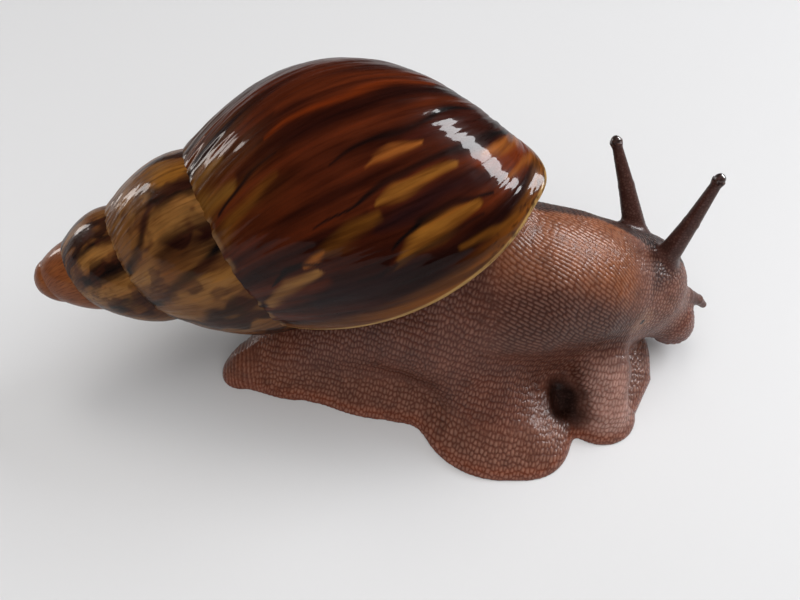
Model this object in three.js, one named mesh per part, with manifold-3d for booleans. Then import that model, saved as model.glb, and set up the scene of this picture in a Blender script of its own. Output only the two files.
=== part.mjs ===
// Giant African land snail, crawling: a still, life-size model in millimetres.
// +X is the way the snail crawls, +Z is up, and the sole of the foot lies on z = 0 round the origin.
// The shell is dextral. The soft body is one rounded form, parted with thin plane cuts.

import * as THREE from 'three';
import { mergeVertices } from 'three/addons/utils/BufferGeometryUtils.js';
import Module from 'manifold-3d';

const wasm = await Module();
wasm.setup();

// ---------------------------------------------------------------- driving dimensions, mm

const GAP = 0.3; // room between neighbouring solids
const HALF_GAP = GAP / 2;
const BIG = 400; // edge of a box that stands for a half space
const MERGE_DISTANCE = 1e-3;
const NEEDLE_WIDTH = 0.02; // slivers thinner than this are dropped

// Shell. t counts turns back from the lip; z runs from the vertex of the spire's cone to the base.
const WHORL_RATE = 0.48; // the shell shrinks by exp(-rate) for each turn back
const LIP_WIDENING_RATE = 0.256; // the radius changes more slowly near the lip
const WIDENING_TURNS = 0.8;
const SUTURE_DEPTH = 53.4; // z of the suture at the lip
const BASE_DEPTH = 114.5; // z of the base of the last whorl
const WHORL_RADIUS = 28.35; // from the axis to the widest place of the last whorl
const SHOULDER_PLACE = 0.886; // widest place, as a part of the way to the next suture
const SHOULDER_POWER = 0.945;
const BASE_POWER = 2.2;
const APEX_DEPTH = 14.3; // centre of the blunt embryonic whorl
const APEX_RADIUS = 5.0;
const SPIRE_TURNS = 3.45;
const COLUMELLA_RADIUS = 1.3; // the pillar on the axis that the whorls wind round
const COLUMELLA_END = 92; // z of its cut-off end
const INNER_RADIUS = 0.5; // a whorl's solid starts here, inside the columella
const SHELL_BASE = new THREE.Vector3(26.4, 18.05, 46.4); // where the axis leaves the base
const SHELL_HEADING = 189.5; // degrees, direction of the apex seen from above
const SHELL_TILT = -10.8; // degrees, the apex points down
const LIP_TURN = 151.3; // degrees about the axis, place of the upper end of the lip
const LIP_LEAN = 19.1; // degrees, lean of the aperture's plane along the axis
const LIP_OPEN = 27.7; // degrees, turn of the aperture's plane about the axis
const LIP_THICKNESS = 1.2;
const LIP_FLARE = 0.9; // the upper lip bends outwards by this at its edge
const FLARE_DEPTH = 3; // how far behind the aperture's plane the flare begins
const FLARE_START = 42; // degrees, span of the flare on the base of the whorl
const FLARE_END = 70;
const PARIETAL_GLAZE = 0.1; // thin layer that the last whorl lays on the earlier ones in the aperture
const CAVITY_DEPTH = 7;
const FRONT_TURNS = 0.25; // the last whorl is made this much too long, then cut at the aperture
const FRONT_END = 0.45; // turns; the aperture's plane cuts only this front part
const ROOM_END = 0.41; // turns; the room inside the lip ends here
const TURN_STEPS = 24;

// Soft body.
const CELL = 3; // size of the facets
const SOLE_RIM = 1; // thickness of the foot at its very edge
const SOLE_EDGE_HEIGHT = 8.7; // the foot's upper face rises by up to this inside its edge
const SOLE_EDGE_RISE = 7.5;
const TAIL_CUT = -26;
const NECK_CUT = 12;
const HEAD_CUT = 35.5;
const FOOT_CUT = 6.5; // height of the cut between the foot and what it carries
const MOUTH_CUT = 9; // height of the cut below the head
const LOBE_CUT = -12.5; // y of the cut at the root of the right front lobe
const PLEAT_CUT = -6.5; // y of the cut at the root of the right pleat
const PLEAT_START = 27.8; // x of the notch between lobe and pleat
const UP = new THREE.Vector3(0, 0, 1);
const FRONT_CUT = { // the cut that slopes down between the foot's front edge and the mouth
  point: new THREE.Vector3(44, 7, 3.2),
  normal: new THREE.Vector3(0.55, 0, 0.835).normalize(),
};
const BELOW_SOLE = -3; // the body is made down to here, then cut off level at the sole
const FIELD_LOW = [-51.5, -34, -6];
const FIELD_HIGH = [62, 38, 62];
const EYE_RADIUS = 1.2;

// Limbs as stations [x, y, z, radius].
const SOLE = [[-42, -1.3, 0, 4.4], [-30, 2.5, 0, 10.5], [-12, 5, 0, 17.5], [6, 5.5, 0, 21.5],
  [22, 5.5, 0, 22.5], [33, 5, 0, 14]];
const PLEAT_SOLE = [[33.8, -2, 0, 12], [32.6, -11, 0, 7.9]]; // outline of the sole under the right pleat
const BACK = [[-39.5, 0.3, 3.2, 3.6], [-30, 3, 6, 6.4], [-17, 4.5, 10.5, 9.8], [-3, 4, 17, 13.5],
  [8, 3.4, 23.5, 14.5], [17, 3.6, 24.2, 13.8], [26, 5.6, 21.5, 12.6], [34.5, 8.4, 18.6, 10.6],
  [40.5, 9.4, 17, 9.2]];
const STALK = [[6, 5, 26, 13], [0, 8, 38, 13], [-6, 10, 44, 12]];
const RIGHT_APRON = [[4, -1, 14, 11], [9, -9, 7, 7.5], [11, -15, 3.5, 4]];
const LEFT_APRON = [[8, 6, 14, 11], [10, 17, 6, 7], [12, 23, 3, 4]];
const THROAT = [[18, 2, 13, 10], [31, 4, 11.5, 8.6], [37.5, 6.5, 9.5, 6.2]];
const PIT = [[27.4, -16.2, 4.6, 0.7], [25, -12.8, 5.2, 1.7], [24, -10.2, 5.8, 1.2]];
const PLEAT = [[30, 1.5, 15.5, 6], [32.6, -6.5, 9.2, 4.8], [33.6, -12.8, 4, 4]];
const SNOUT = [[43.5, 8.4, 13, 6.6], [49.2, 7, 9, 4.7], [50.9, 6.6, 6.5, 4.2]];
const UPPER_TENTACLES = {
  right: [[42.4, 8.2, 21, 3.6], [43.7, 7.6, 26.5, 2.3], [45.2, 7.2, 36, 1.5], [46.2, 6.8, 45.2, 0.95]],
  left: [[40, 12.5, 21, 3.6], [39.4, 14.6, 26.5, 2.3], [36, 18.2, 35.5, 1.5], [33, 20.8, 42.6, 0.95]],
};
const LOWER_TENTACLES = {
  right: [[48.9, 7.8, 15.6, 2.6], [51.6, 8.3, 14.5, 1.7], [55.2, 9, 12.2, 1.1], [57.3, 9.4, 10, 0.75]],
  left: [[45.2, 15.1, 15.6, 2.6], [47.4, 17.2, 14.5, 1.7], [49.7, 19.8, 12.2, 1.1], [51.1, 21.4, 10, 0.75]],
};

// ---------------------------------------------------------------- colours

const PAINT = {
  shell: [0x5a2a14, 0.25],
  skin: [0x7a5548, 0.55],
  dark: [0x3b2a26, 0.5],
  eye: [0x14100e, 0.12],
  mantle: [0x9a7a58, 0.5],
  mouth: [0x7a3f38, 0.5],
};

// ---------------------------------------------------------------- solids and booleans

function toSolid(geometry) {
  const bare = geometry.clone();
  bare.deleteAttribute('normal');
  bare.deleteAttribute('uv');
  const merged = mergeVertices(bare, MERGE_DISTANCE);
  const mesh = new wasm.Mesh({
    numProp: 3,
    vertProperties: new Float32Array(merged.attributes.position.array),
    triVerts: new Uint32Array(merged.index.array),
  });
  return new wasm.Manifold(mesh);
}

function toGeometry(solid) {
  const mesh = solid.getMesh();
  const geometry = new THREE.BufferGeometry();
  geometry.setAttribute('position', new THREE.BufferAttribute(new Float32Array(mesh.vertProperties), 3));
  geometry.setIndex(new THREE.BufferAttribute(new Uint32Array(mesh.triVerts), 1));
  geometry.computeVertexNormals();
  return geometry;
}

// Largest of the separate bodies of a solid: small crumbs that a cut leaves are dropped.
function mainBody(solid) {
  return solid.decompose().reduce((best, piece) => (piece.volume() > best.volume() ? piece : best));
}

// A solid without the needles of no volume that booleans leave along its creases.
function withoutNeedles(solid) {
  let clean = mainBody(solid);
  for (let round = 0; round < 2; round += 1) {
    clean = mainBody(toSolid(toGeometry(clean.simplify(NEEDLE_WIDTH))));
  }
  return clean;
}

// Everything on the side of a plane that its normal points to.
function halfSpace(point, normal) {
  const box = new THREE.BoxGeometry(BIG, BIG, BIG);
  box.translate(0, 0, BIG / 2);
  const turn = new THREE.Quaternion().setFromUnitVectors(new THREE.Vector3(0, 0, 1), normal);
  box.applyQuaternion(turn);
  box.translate(point.x, point.y, point.z);
  return toSolid(box);
}

function block(low, high) {
  const size = high.map((value, i) => value - low[i]);
  const box = new THREE.BoxGeometry(...size);
  box.translate(...low.map((value, i) => value + size[i] / 2));
  return toSolid(box);
}

// Closed mesh from rows of points, each row an open outline that the caps close.
function loft(rows, capTriangles) {
  const width = rows[0].length;
  const positions = rows.flat().flatMap((point) => point.toArray());
  const index = [];
  for (let i = 0; i + 1 < rows.length; i += 1) {
    for (let j = 0; j < width; j += 1) {
      const a = i * width + j;
      const b = i * width + ((j + 1) % width);
      index.push(a, b, a + width, b, b + width, a + width);
    }
  }
  const last = (rows.length - 1) * width;
  for (const [a, b, c] of capTriangles) {
    index.push(a, c, b, last + a, last + b, last + c);
  }
  const geometry = new THREE.BufferGeometry();
  geometry.setAttribute('position', new THREE.Float32BufferAttribute(positions, 3));
  geometry.setIndex(index);
  if (signedVolume(geometry) < 0) flipFaces(geometry);
  return geometry;
}

function signedVolume(geometry) {
  const { array } = geometry.attributes.position;
  const index = geometry.index.array;
  const corner = (k) => new THREE.Vector3().fromArray(array, 3 * index[k]);
  let volume = 0;
  for (let k = 0; k < index.length; k += 3) {
    volume += corner(k).dot(corner(k + 1).cross(corner(k + 2))) / 6;
  }
  return volume;
}

function flipFaces(geometry) {
  const index = geometry.index.array;
  for (let k = 0; k < index.length; k += 3) {
    [index[k + 1], index[k + 2]] = [index[k + 2], index[k + 1]];
  }
}

// ---------------------------------------------------------------- shell

const degrees = THREE.MathUtils.degToRad;

// Unit axes of the shell: towards the apex, and two across it.
const APEX_WAY = new THREE.Vector3(
  Math.cos(degrees(SHELL_HEADING)) * Math.cos(degrees(SHELL_TILT)),
  Math.sin(degrees(SHELL_HEADING)) * Math.cos(degrees(SHELL_TILT)),
  Math.sin(degrees(SHELL_TILT)),
);
const ACROSS = new THREE.Vector3().crossVectors(APEX_WAY, new THREE.Vector3(0, 0, 1)).normalize();
const DOWN = new THREE.Vector3().crossVectors(APEX_WAY, ACROSS);

const sutureZ = (t) => SUTURE_DEPTH * Math.exp(-WHORL_RATE * t);
const baseZ = (t) => BASE_DEPTH * Math.exp(-WHORL_RATE * t);
const widestZ = (t) => sutureZ(t) + SHOULDER_PLACE * (sutureZ(t - 1) - sutureZ(t));

function widestR(t) {
  const slack = (WHORL_RATE - LIP_WIDENING_RATE) * WIDENING_TURNS * (1 - Math.exp(-t / WIDENING_TURNS));
  return WHORL_RADIUS * Math.exp(-(WHORL_RATE * t - slack));
}

function baseR(t, z) {
  const place = (z - widestZ(t)) / (baseZ(t) - widestZ(t));
  return widestR(t) * (1 - place ** 2) ** (1 / BASE_POWER);
}

const sutureR = (t) => baseR(t + 1, sutureZ(t));

// Outline of one whorl in the plane through the axis, from suture over the shoulder to the base.
function whorlOutline(t, grow, shoulderSteps, baseSteps) {
  const points = [new THREE.Vector2(INNER_RADIUS, sutureZ(t) - grow)];
  for (let i = 0; i < shoulderSteps; i += 1) {
    const u = i / shoulderSteps;
    const rise = Math.sin((Math.PI / 2) * u) ** SHOULDER_POWER;
    const r = sutureR(t) + (widestR(t) - sutureR(t)) * rise;
    const z = sutureZ(t) + (widestZ(t) - sutureZ(t)) * u;
    points.push(new THREE.Vector2(r + grow, z - grow * (1 - u)));
  }
  for (let i = 0; i < baseSteps; i += 1) {
    const a = (Math.PI / 2) * (i / baseSteps);
    const r = widestR(t) * Math.cos(a) ** (2 / BASE_POWER);
    const z = widestZ(t) + (baseZ(t) - widestZ(t)) * Math.sin(a);
    const out = grow + lipFlare(r, z, t, a);
    points.push(new THREE.Vector2(r + out * Math.cos(a), z + out * Math.sin(a)));
  }
  points.push(new THREE.Vector2(INNER_RADIUS, baseZ(t) + grow));
  return points;
}

// How far the upper lip bends outwards at a place of the base, seen from its own turn.
function lipFlare(r, z, t, a) {
  if (t >= FRONT_END) return 0;
  const middle = degrees((FLARE_START + FLARE_END) / 2);
  const span = THREE.MathUtils.smoothstep(a, degrees(FLARE_START), middle)
    * (1 - THREE.MathUtils.smoothstep(a, middle, degrees(FLARE_END)));
  const opening = shellPoint(r, z, t).sub(APERTURE.point).dot(APERTURE.normal);
  return LIP_FLARE * span * THREE.MathUtils.smoothstep(opening, -FLARE_DEPTH, 0);
}

function shellPoint(r, z, turn) {
  const angle = degrees(LIP_TURN) + 2 * Math.PI * turn;
  return SHELL_BASE.clone()
    .addScaledVector(APEX_WAY, BASE_DEPTH - z)
    .addScaledVector(ACROSS, r * Math.cos(angle))
    .addScaledVector(DOWN, r * Math.sin(angle));
}

// Solid of the whorl between two turns, from inside the columella out to its surface moved out by grow.
function whorlSolid(start, end, grow, shoulderSteps, baseSteps) {
  const steps = Math.max(2, Math.round((end - start) * TURN_STEPS));
  const rows = [];
  for (let i = 0; i <= steps; i += 1) {
    const t = start + ((end - start) * i) / steps;
    rows.push(whorlOutline(t, grow, shoulderSteps, baseSteps).map((p) => shellPoint(p.x, p.y, t)));
  }
  const outline = whorlOutline(start, grow, shoulderSteps, baseSteps);
  return toSolid(loft(rows, THREE.ShapeUtils.triangulateShape(outline, [])));
}

// Normal and point of the aperture's plane; the normal points out of the shell.
function aperturePlane() {
  const angle = degrees(LIP_TURN);
  const outward = ACROSS.clone().multiplyScalar(Math.cos(angle)).addScaledVector(DOWN, Math.sin(angle));
  const onward = ACROSS.clone().multiplyScalar(Math.sin(angle)).addScaledVector(DOWN, -Math.cos(angle));
  const normal = onward.multiplyScalar(Math.cos(degrees(LIP_OPEN)))
    .addScaledVector(outward, Math.sin(degrees(LIP_OPEN)))
    .multiplyScalar(Math.cos(degrees(LIP_LEAN)))
    .addScaledVector(APEX_WAY, -Math.sin(degrees(LIP_LEAN)));
  return { point: shellPoint(sutureR(0), sutureZ(0), 0), normal };
}

const APERTURE = aperturePlane();

// Everything further out of the shell than the aperture's plane moved out by grow.
function beyondAperture(grow) {
  const point = APERTURE.point.clone().addScaledVector(APERTURE.normal, grow);
  return halfSpace(point, APERTURE.normal);
}

// The front of the last whorl, made too long and not yet cut at the aperture.
const frontWhorl = (grow, end) => whorlSolid(-FRONT_TURNS, end, grow, 6, 9);

function earlierWhorls(grow) {
  let solid = whorlSolid(FRONT_END, 1, grow, 6, 9);
  for (let t = 1; t < SPIRE_TURNS; t += 0.5) {
    const end = Math.min(t + 0.5, SPIRE_TURNS);
    solid = solid.add(whorlSolid(t, end, grow, 4, 6));
  }
  const apex = new THREE.SphereGeometry(APEX_RADIUS + grow, 16, 10);
  const centre = shellPoint(0, APEX_DEPTH, 0);
  apex.translate(centre.x, centre.y, centre.z);
  return solid.add(toSolid(apex)).add(columella(grow));
}

function columella(grow) {
  const [top, end] = [shellPoint(0, APEX_DEPTH, 0), shellPoint(0, COLUMELLA_END + grow, 0)];
  const radius = COLUMELLA_RADIUS + grow;
  const pillar = new THREE.CylinderGeometry(radius, radius, top.distanceTo(end), 12);
  pillar.applyQuaternion(new THREE.Quaternion().setFromUnitVectors(new THREE.Vector3(0, 1, 0), APEX_WAY));
  const middle = top.add(end).divideScalar(2);
  pillar.translate(middle.x, middle.y, middle.z);
  return toSolid(pillar);
}

// The room inside the lip: a wall's thickness in from the surface, and as deep as given.
function lipRoom(wall, depth, clearance) {
  const slab = frontWhorl(-wall, ROOM_END).intersect(beyondAperture(-depth));
  return mainBody(slab.subtract(earlierWhorls(clearance)));
}

function makeShell() {
  const room = lipRoom(LIP_THICKNESS, CAVITY_DEPTH, PARIETAL_GLAZE);
  return frontWhorl(0, FRONT_END).subtract(beyondAperture(0)).subtract(room).add(earlierWhorls(0));
}

// The mantle fills the room inside the lip, with its face in the aperture's plane.
function makeMantle() {
  const clearance = PARIETAL_GLAZE + GAP;
  return lipRoom(LIP_THICKNESS + GAP, CAVITY_DEPTH - GAP, clearance).subtract(beyondAperture(0));
}

// What the soft body is cut back from: the shell with its aperture closed, a gap larger all round.
function shellClearance() {
  return frontWhorl(GAP, FRONT_END).subtract(beyondAperture(GAP)).add(earlierWhorls(GAP));
}

// ---------------------------------------------------------------- soft body as a distance field

function smoothMin(a, b, k) {
  const h = THREE.MathUtils.clamp(0.5 + (0.5 * (b - a)) / k, 0, 1);
  return b + (a - b) * h - k * h * (1 - h);
}

const smoothMax = (a, b, k) => -smoothMin(-a, -b, k);

// Distance to a straight limb whose radius runs from one end's to the other's.
function limb(x, y, z, a, b) {
  const ab = [b[0] - a[0], b[1] - a[1], b[2] - a[2]];
  const ap = [x - a[0], y - a[1], z - a[2]];
  const along = (ap[0] * ab[0] + ap[1] * ab[1] + ap[2] * ab[2]) / (ab[0] ** 2 + ab[1] ** 2 + ab[2] ** 2);
  const h = THREE.MathUtils.clamp(along, 0, 1);
  const gap = Math.hypot(ap[0] - h * ab[0], ap[1] - h * ab[1], ap[2] - h * ab[2]);
  return gap - (a[3] + (b[3] - a[3]) * h);
}

function chain(x, y, z, stations, k) {
  let d = limb(x, y, z, stations[0], stations[1]);
  for (let i = 1; i + 1 < stations.length; i += 1) {
    d = smoothMin(d, limb(x, y, z, stations[i], stations[i + 1]), k);
  }
  return d;
}

function ellipse(place, centre, radii) {
  const q = place.map((value, i) => (value - centre[i]) / radii[i]);
  const k0 = Math.hypot(...q);
  const k1 = Math.hypot(...q.map((value, i) => value / radii[i]));
  return (k0 * (k0 - 1)) / Math.max(k1, 1e-9);
}

// Distance to the foot: a flat sole outline with a pillowed upper face.
function footField(x, y, z) {
  let plan = chain(x, y, 0, SOLE, 4);
  plan = smoothMin(plan, ellipse([x, y], [11.8, -10.8], [16.2, 15.6]), 2.5); // right front lobe
  plan = smoothMin(plan, ellipse([x, y], [17.5, -18.2], [7.6, 7.6]), 2.5); // its fuller front
  plan = smoothMin(plan, ellipse([x, y], [13, 16], [18, 14]), 4); // left front lobe
  plan = smoothMin(plan, chain(x, y, 0, PLEAT_SOLE, 1), 1.4);
  plan = smoothMin(plan, ellipse([x, y], [34, 4], [11, 11.5]), 3); // front edge
  plan = smoothMin(plan, ellipse([x, y], [33, 16], [11, 10]), 3); // left front corner
  const inside = Math.max(-plan, 0);
  const top = SOLE_RIM + SOLE_EDGE_HEIGHT * (1 - Math.exp(-inside / SOLE_EDGE_RISE));
  return smoothMax(plan, z - top, 1.2);
}

// Distance to the whole soft body, with only the roots of the tentacles.
function bodyField(x, y, z) {
  let d = smoothMin(footField(x, y, z), chain(x, y, z, BACK, 5), 5);
  d = smoothMin(d, chain(x, y, z, STALK, 4), 4);
  d = smoothMin(d, chain(x, y, z, RIGHT_APRON, 4), 5);
  d = smoothMin(d, chain(x, y, z, LEFT_APRON, 4), 5);
  d = smoothMin(d, chain(x, y, z, THROAT, 4), 4);
  d = smoothMax(d, -chain(x, y, z, PIT, 3), 2);
  d = smoothMin(d, chain(x, y, z, PLEAT, 3), 2.2);
  d = smoothMin(d, ellipse([x, y, z], [41.8, 9.6, 16.4], [7.8, 8.8, 9.6]), 4);
  d = smoothMin(d, chain(x, y, z, SNOUT, 3), 3);
  for (const side of ['right', 'left']) {
    d = smoothMin(d, chain(x, y, z, UPPER_TENTACLES[side].slice(0, 2), 1), 1.6);
    d = smoothMin(d, chain(x, y, z, LOWER_TENTACLES[side].slice(0, 2), 1), 1.6);
  }
  return d;
}

function gradient(field, p) {
  const e = 0.05;
  return new THREE.Vector3(
    field(p.x + e, p.y, p.z) - field(p.x - e, p.y, p.z),
    field(p.x, p.y + e, p.z) - field(p.x, p.y - e, p.z),
    field(p.x, p.y, p.z + e) - field(p.x, p.y, p.z - e),
  ).divideScalar(2 * e);
}

// Closed quad mesh of the field's zero level, one vertex in each grid cell that it crosses.
function surfaceNet(field, low, high, cell) {
  const count = low.map((value, i) => Math.ceil((high[i] - value) / cell) + 1);
  const [nx, ny, nz] = count;
  const at = (i, j, k) => (i * ny + j) * nz + k;
  const values = new Float32Array(nx * ny * nz);
  for (let i = 0; i < nx; i += 1) {
    for (let j = 0; j < ny; j += 1) {
      for (let k = 0; k < nz; k += 1) {
        values[at(i, j, k)] = field(low[0] + i * cell, low[1] + j * cell, low[2] + k * cell);
      }
    }
  }
  const steps = [at(1, 0, 0), at(0, 1, 0), at(0, 0, 1)];
  const vertexOf = new Int32Array(values.length).fill(-1);
  const positions = [];
  for (let i = 0; i + 1 < nx; i += 1) {
    for (let j = 0; j + 1 < ny; j += 1) {
      for (let k = 0; k + 1 < nz; k += 1) {
        const point = cellVertex(values, at(i, j, k), steps);
        if (!point) continue;
        vertexOf[at(i, j, k)] = positions.length / 3;
        const place = new THREE.Vector3(low[0], low[1], low[2])
          .addScaledVector(point.add(new THREE.Vector3(i, j, k)), cell);
        positions.push(...settle(field, place, cell).toArray());
      }
    }
  }
  const index = [];
  for (let i = 1; i + 1 < nx; i += 1) {
    for (let j = 1; j + 1 < ny; j += 1) {
      for (let k = 1; k + 1 < nz; k += 1) {
        for (let axis = 0; axis < 3; axis += 1) {
          addQuad(index, values, vertexOf, at(i, j, k), steps, axis);
        }
      }
    }
  }
  const geometry = new THREE.BufferGeometry();
  geometry.setAttribute('position', new THREE.Float32BufferAttribute(positions, 3));
  geometry.setIndex(index);
  return geometry;
}

// Mean of the places where the surface crosses a cell's edges, in cell units, or null.
function cellVertex(values, origin, steps) {
  const sum = new THREE.Vector3();
  let crossings = 0;
  for (let axis = 0; axis < 3; axis += 1) {
    const [u, v] = [(axis + 1) % 3, (axis + 2) % 3];
    for (const [a, b] of [[0, 0], [1, 0], [0, 1], [1, 1]]) {
      const start = values[origin + a * steps[u] + b * steps[v]];
      const end = values[origin + a * steps[u] + b * steps[v] + steps[axis]];
      if (start < 0 === end < 0) continue;
      const crossing = [0, 0, 0];
      crossing[u] = a;
      crossing[v] = b;
      crossing[axis] = start / (start - end);
      sum.add(new THREE.Vector3(...crossing));
      crossings += 1;
    }
  }
  return crossings ? sum.divideScalar(crossings) : null;
}

// Moves a point onto the field's zero level, by no more than part of a cell.
function settle(field, start, cell) {
  const place = start.clone();
  for (let round = 0; round < 3; round += 1) {
    const slope = gradient(field, place);
    const move = slope.multiplyScalar(-field(place.x, place.y, place.z) / Math.max(slope.lengthSq(), 0.1));
    place.add(move);
  }
  const shift = place.sub(start).clampLength(0, 0.45 * cell);
  return start.clone().add(shift);
}

function addQuad(index, values, vertexOf, here, steps, axis) {
  const inside = values[here] < 0;
  if (inside === values[here + steps[axis]] < 0) return;
  const [u, v] = [steps[(axis + 1) % 3], steps[(axis + 2) % 3]];
  const ring = [here - u - v, here - v, here, here - u].map((cell) => vertexOf[cell]);
  if (!inside) ring.reverse();
  index.push(ring[0], ring[1], ring[2], ring[0], ring[2], ring[3]);
}

// ---------------------------------------------------------------- tentacles and eyes

const stationPoint = (station) => new THREE.Vector3(...station.slice(0, 3));

// Tapered tube along stations, with flat ends square to its path.
function taperedTube(stations, sides, rings) {
  const path = new THREE.CatmullRomCurve3(stations.map(stationPoint));
  const { binormals, normals } = path.computeFrenetFrames(rings, false);
  const rows = [];
  for (let i = 0; i <= rings; i += 1) {
    const centre = path.getPointAt(i / rings);
    const place = (i / rings) * (stations.length - 1);
    const k = Math.min(Math.floor(place), stations.length - 2);
    const radius = THREE.MathUtils.lerp(stations[k][3], stations[k + 1][3], place - k);
    const row = [];
    for (let j = 0; j < sides; j += 1) {
      const angle = (2 * Math.PI * j) / sides;
      row.push(centre.clone()
        .addScaledVector(normals[i], radius * Math.cos(angle))
        .addScaledVector(binormals[i], radius * Math.sin(angle)));
    }
    rows.push(row);
  }
  const fan = [];
  for (let j = 1; j + 1 < sides; j += 1) fan.push([0, j, j + 1]);
  return toSolid(loft(rows, fan));
}

// Plane across the root of a tentacle, and its direction out of the head.
function rootPlane(stations) {
  const point = stationPoint(stations[1]);
  const way = stationPoint(stations[2]).sub(point).normalize();
  return { point, way };
}

// The small block beyond a tentacle's root plane, which the head is cut back from.
function rootBlock(stations) {
  const { point, way } = rootPlane(stations);
  const side = 2.8 * stations[1][3];
  const length = 2 * stations[1][3];
  const box = new THREE.BoxGeometry(side, side, length);
  box.translate(0, 0, length / 2);
  box.applyQuaternion(new THREE.Quaternion().setFromUnitVectors(new THREE.Vector3(0, 0, 1), way));
  box.translate(point.x, point.y, point.z);
  return toSolid(box);
}

function tentacle(stations, rings) {
  const { point, way } = rootPlane(stations);
  const start = point.clone().addScaledVector(way, GAP);
  const tube = taperedTube(stations.slice(1), 10, rings);
  return tube.intersect(halfSpace(start, way));
}

function eyeCentre(stations) {
  const [before, tip] = stations.slice(-2).map(stationPoint);
  return tip.clone().addScaledVector(tip.clone().sub(before).normalize(), EYE_RADIUS + HALF_GAP);
}

function eye(stations) {
  const ball = new THREE.SphereGeometry(EYE_RADIUS, 14, 10);
  const centre = eyeCentre(stations);
  ball.translate(centre.x, centre.y, centre.z);
  return toSolid(ball);
}

// ---------------------------------------------------------------- parting the soft body

function makeFlesh() {
  const closedBelow = (x, y, z) => Math.max(bodyField(x, y, z), BELOW_SOLE - z);
  const net = surfaceNet(closedBelow, FIELD_LOW, FIELD_HIGH, CELL);
  const aboveFloor = halfSpace(new THREE.Vector3(), UP);
  return mainBody(toSolid(net).intersect(aboveFloor).subtract(shellClearance()));
}

// The low wedge that the foot fills, moved out by grow: under a level cut and a cut that slopes
// down to the front edge, below the mouth.
function footWedge(grow) {
  const level = new THREE.Vector3(0, 0, FOOT_CUT + grow);
  const slope = FRONT_CUT.point.clone().addScaledVector(FRONT_CUT.normal, grow);
  const tailEnd = new THREE.Vector3(TAIL_CUT - grow, 0, 0);
  return halfSpace(level, UP.clone().negate())
    .intersect(halfSpace(slope, FRONT_CUT.normal.clone().negate()))
    .intersect(halfSpace(tailEnd, new THREE.Vector3(1, 0, 0)));
}

// Part of a solid inside a box, short of its sides by half a gap.
function within(solid, low, high) {
  const inner = block(low.map((value) => value + HALF_GAP), high.map((value) => value - HALF_GAP));
  return solid.intersect(inner);
}

function partFlesh() {
  const flesh = makeFlesh();
  const low = flesh.intersect(footWedge(-HALF_GAP));
  const high = flesh.subtract(footWedge(HALF_GAP));
  const behindPleat = within(low, [-BIG, LOBE_CUT, -BIG], [PLEAT_START, BIG, BIG]);
  const besidePleat = within(low, [PLEAT_START - GAP, PLEAT_CUT, -BIG], [BIG, BIG, BIG]);
  const roots = Object.values(UPPER_TENTACLES).concat(Object.values(LOWER_TENTACLES));
  const head = roots.reduce(
    (solid, stations) => solid.subtract(rootBlock(stations)),
    within(high, [HEAD_CUT, -BIG, MOUTH_CUT], [BIG, BIG, BIG]),
  );
  return {
    tail: within(high, [-BIG, -BIG, -BIG], [TAIL_CUT, BIG, BIG]),
    trunk: within(high, [TAIL_CUT, -BIG, -BIG], [NECK_CUT, BIG, BIG]),
    foot: behindPleat.add(besidePleat),
    foot_lobe_right: within(low, [-BIG, -BIG, -BIG], [PLEAT_START, LOBE_CUT, BIG]),
    foot_pleat_right: within(low, [PLEAT_START, -BIG, -BIG], [BIG, PLEAT_CUT, BIG]),
    neck: within(high, [NECK_CUT, -BIG, -BIG], [HEAD_CUT, BIG, BIG]),
    head,
    mouth: within(high, [HEAD_CUT, -BIG, -BIG], [BIG, BIG, MOUTH_CUT]),
  };
}

// ---------------------------------------------------------------- the snail

const snail = new THREE.Group();

function addPart(name, solid, [colour, roughness]) {
  const material = new THREE.MeshStandardMaterial({ color: colour, roughness, metalness: 0 });
  const mesh = new THREE.Mesh(toGeometry(withoutNeedles(solid)), material);
  mesh.name = name;
  snail.add(mesh);
}

addPart('shell', makeShell(), PAINT.shell);
addPart('mantle', makeMantle(), PAINT.mantle);
for (const [name, solid] of Object.entries(partFlesh())) {
  addPart(name, solid, name === 'mouth' ? PAINT.mouth : PAINT.skin);
}
for (const side of ['right', 'left']) {
  addPart(`upper_tentacle_${side}`, tentacle(UPPER_TENTACLES[side], 12), PAINT.dark);
  addPart(`lower_tentacle_${side}`, tentacle(LOWER_TENTACLES[side], 5), PAINT.dark);
  addPart(`eye_${side}`, eye(UPPER_TENTACLES[side]), PAINT.eye);
}

export default snail;
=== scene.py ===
"""Looks of a giant African land snail: one wet, tubercled skin, a glossy striped shell and two eyes.

Lengths are in millimetres in the part's frame until a mesh is made: +X is the way the snail crawls,
+Z is up and the sole lies on z = 0. The shell and the soft body repeat the dimensions of the solids.
"""
import itertools
import math

import bmesh
import bpy
import numpy as np
from mathutils import Matrix, Vector


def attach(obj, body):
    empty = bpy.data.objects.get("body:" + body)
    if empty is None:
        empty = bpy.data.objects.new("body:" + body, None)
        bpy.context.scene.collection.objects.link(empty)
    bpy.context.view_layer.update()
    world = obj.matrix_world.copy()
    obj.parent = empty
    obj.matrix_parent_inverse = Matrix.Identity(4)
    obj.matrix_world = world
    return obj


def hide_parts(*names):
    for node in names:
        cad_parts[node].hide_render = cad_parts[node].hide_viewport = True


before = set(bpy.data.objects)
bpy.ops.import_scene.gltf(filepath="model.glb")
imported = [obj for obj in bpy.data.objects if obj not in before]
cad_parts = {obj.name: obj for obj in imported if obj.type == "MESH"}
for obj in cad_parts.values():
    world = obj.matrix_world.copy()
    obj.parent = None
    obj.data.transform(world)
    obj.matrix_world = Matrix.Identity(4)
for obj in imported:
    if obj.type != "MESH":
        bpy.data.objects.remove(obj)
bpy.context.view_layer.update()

MM = 0.001

# ---- dimensions of the shell, mm and turns

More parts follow.
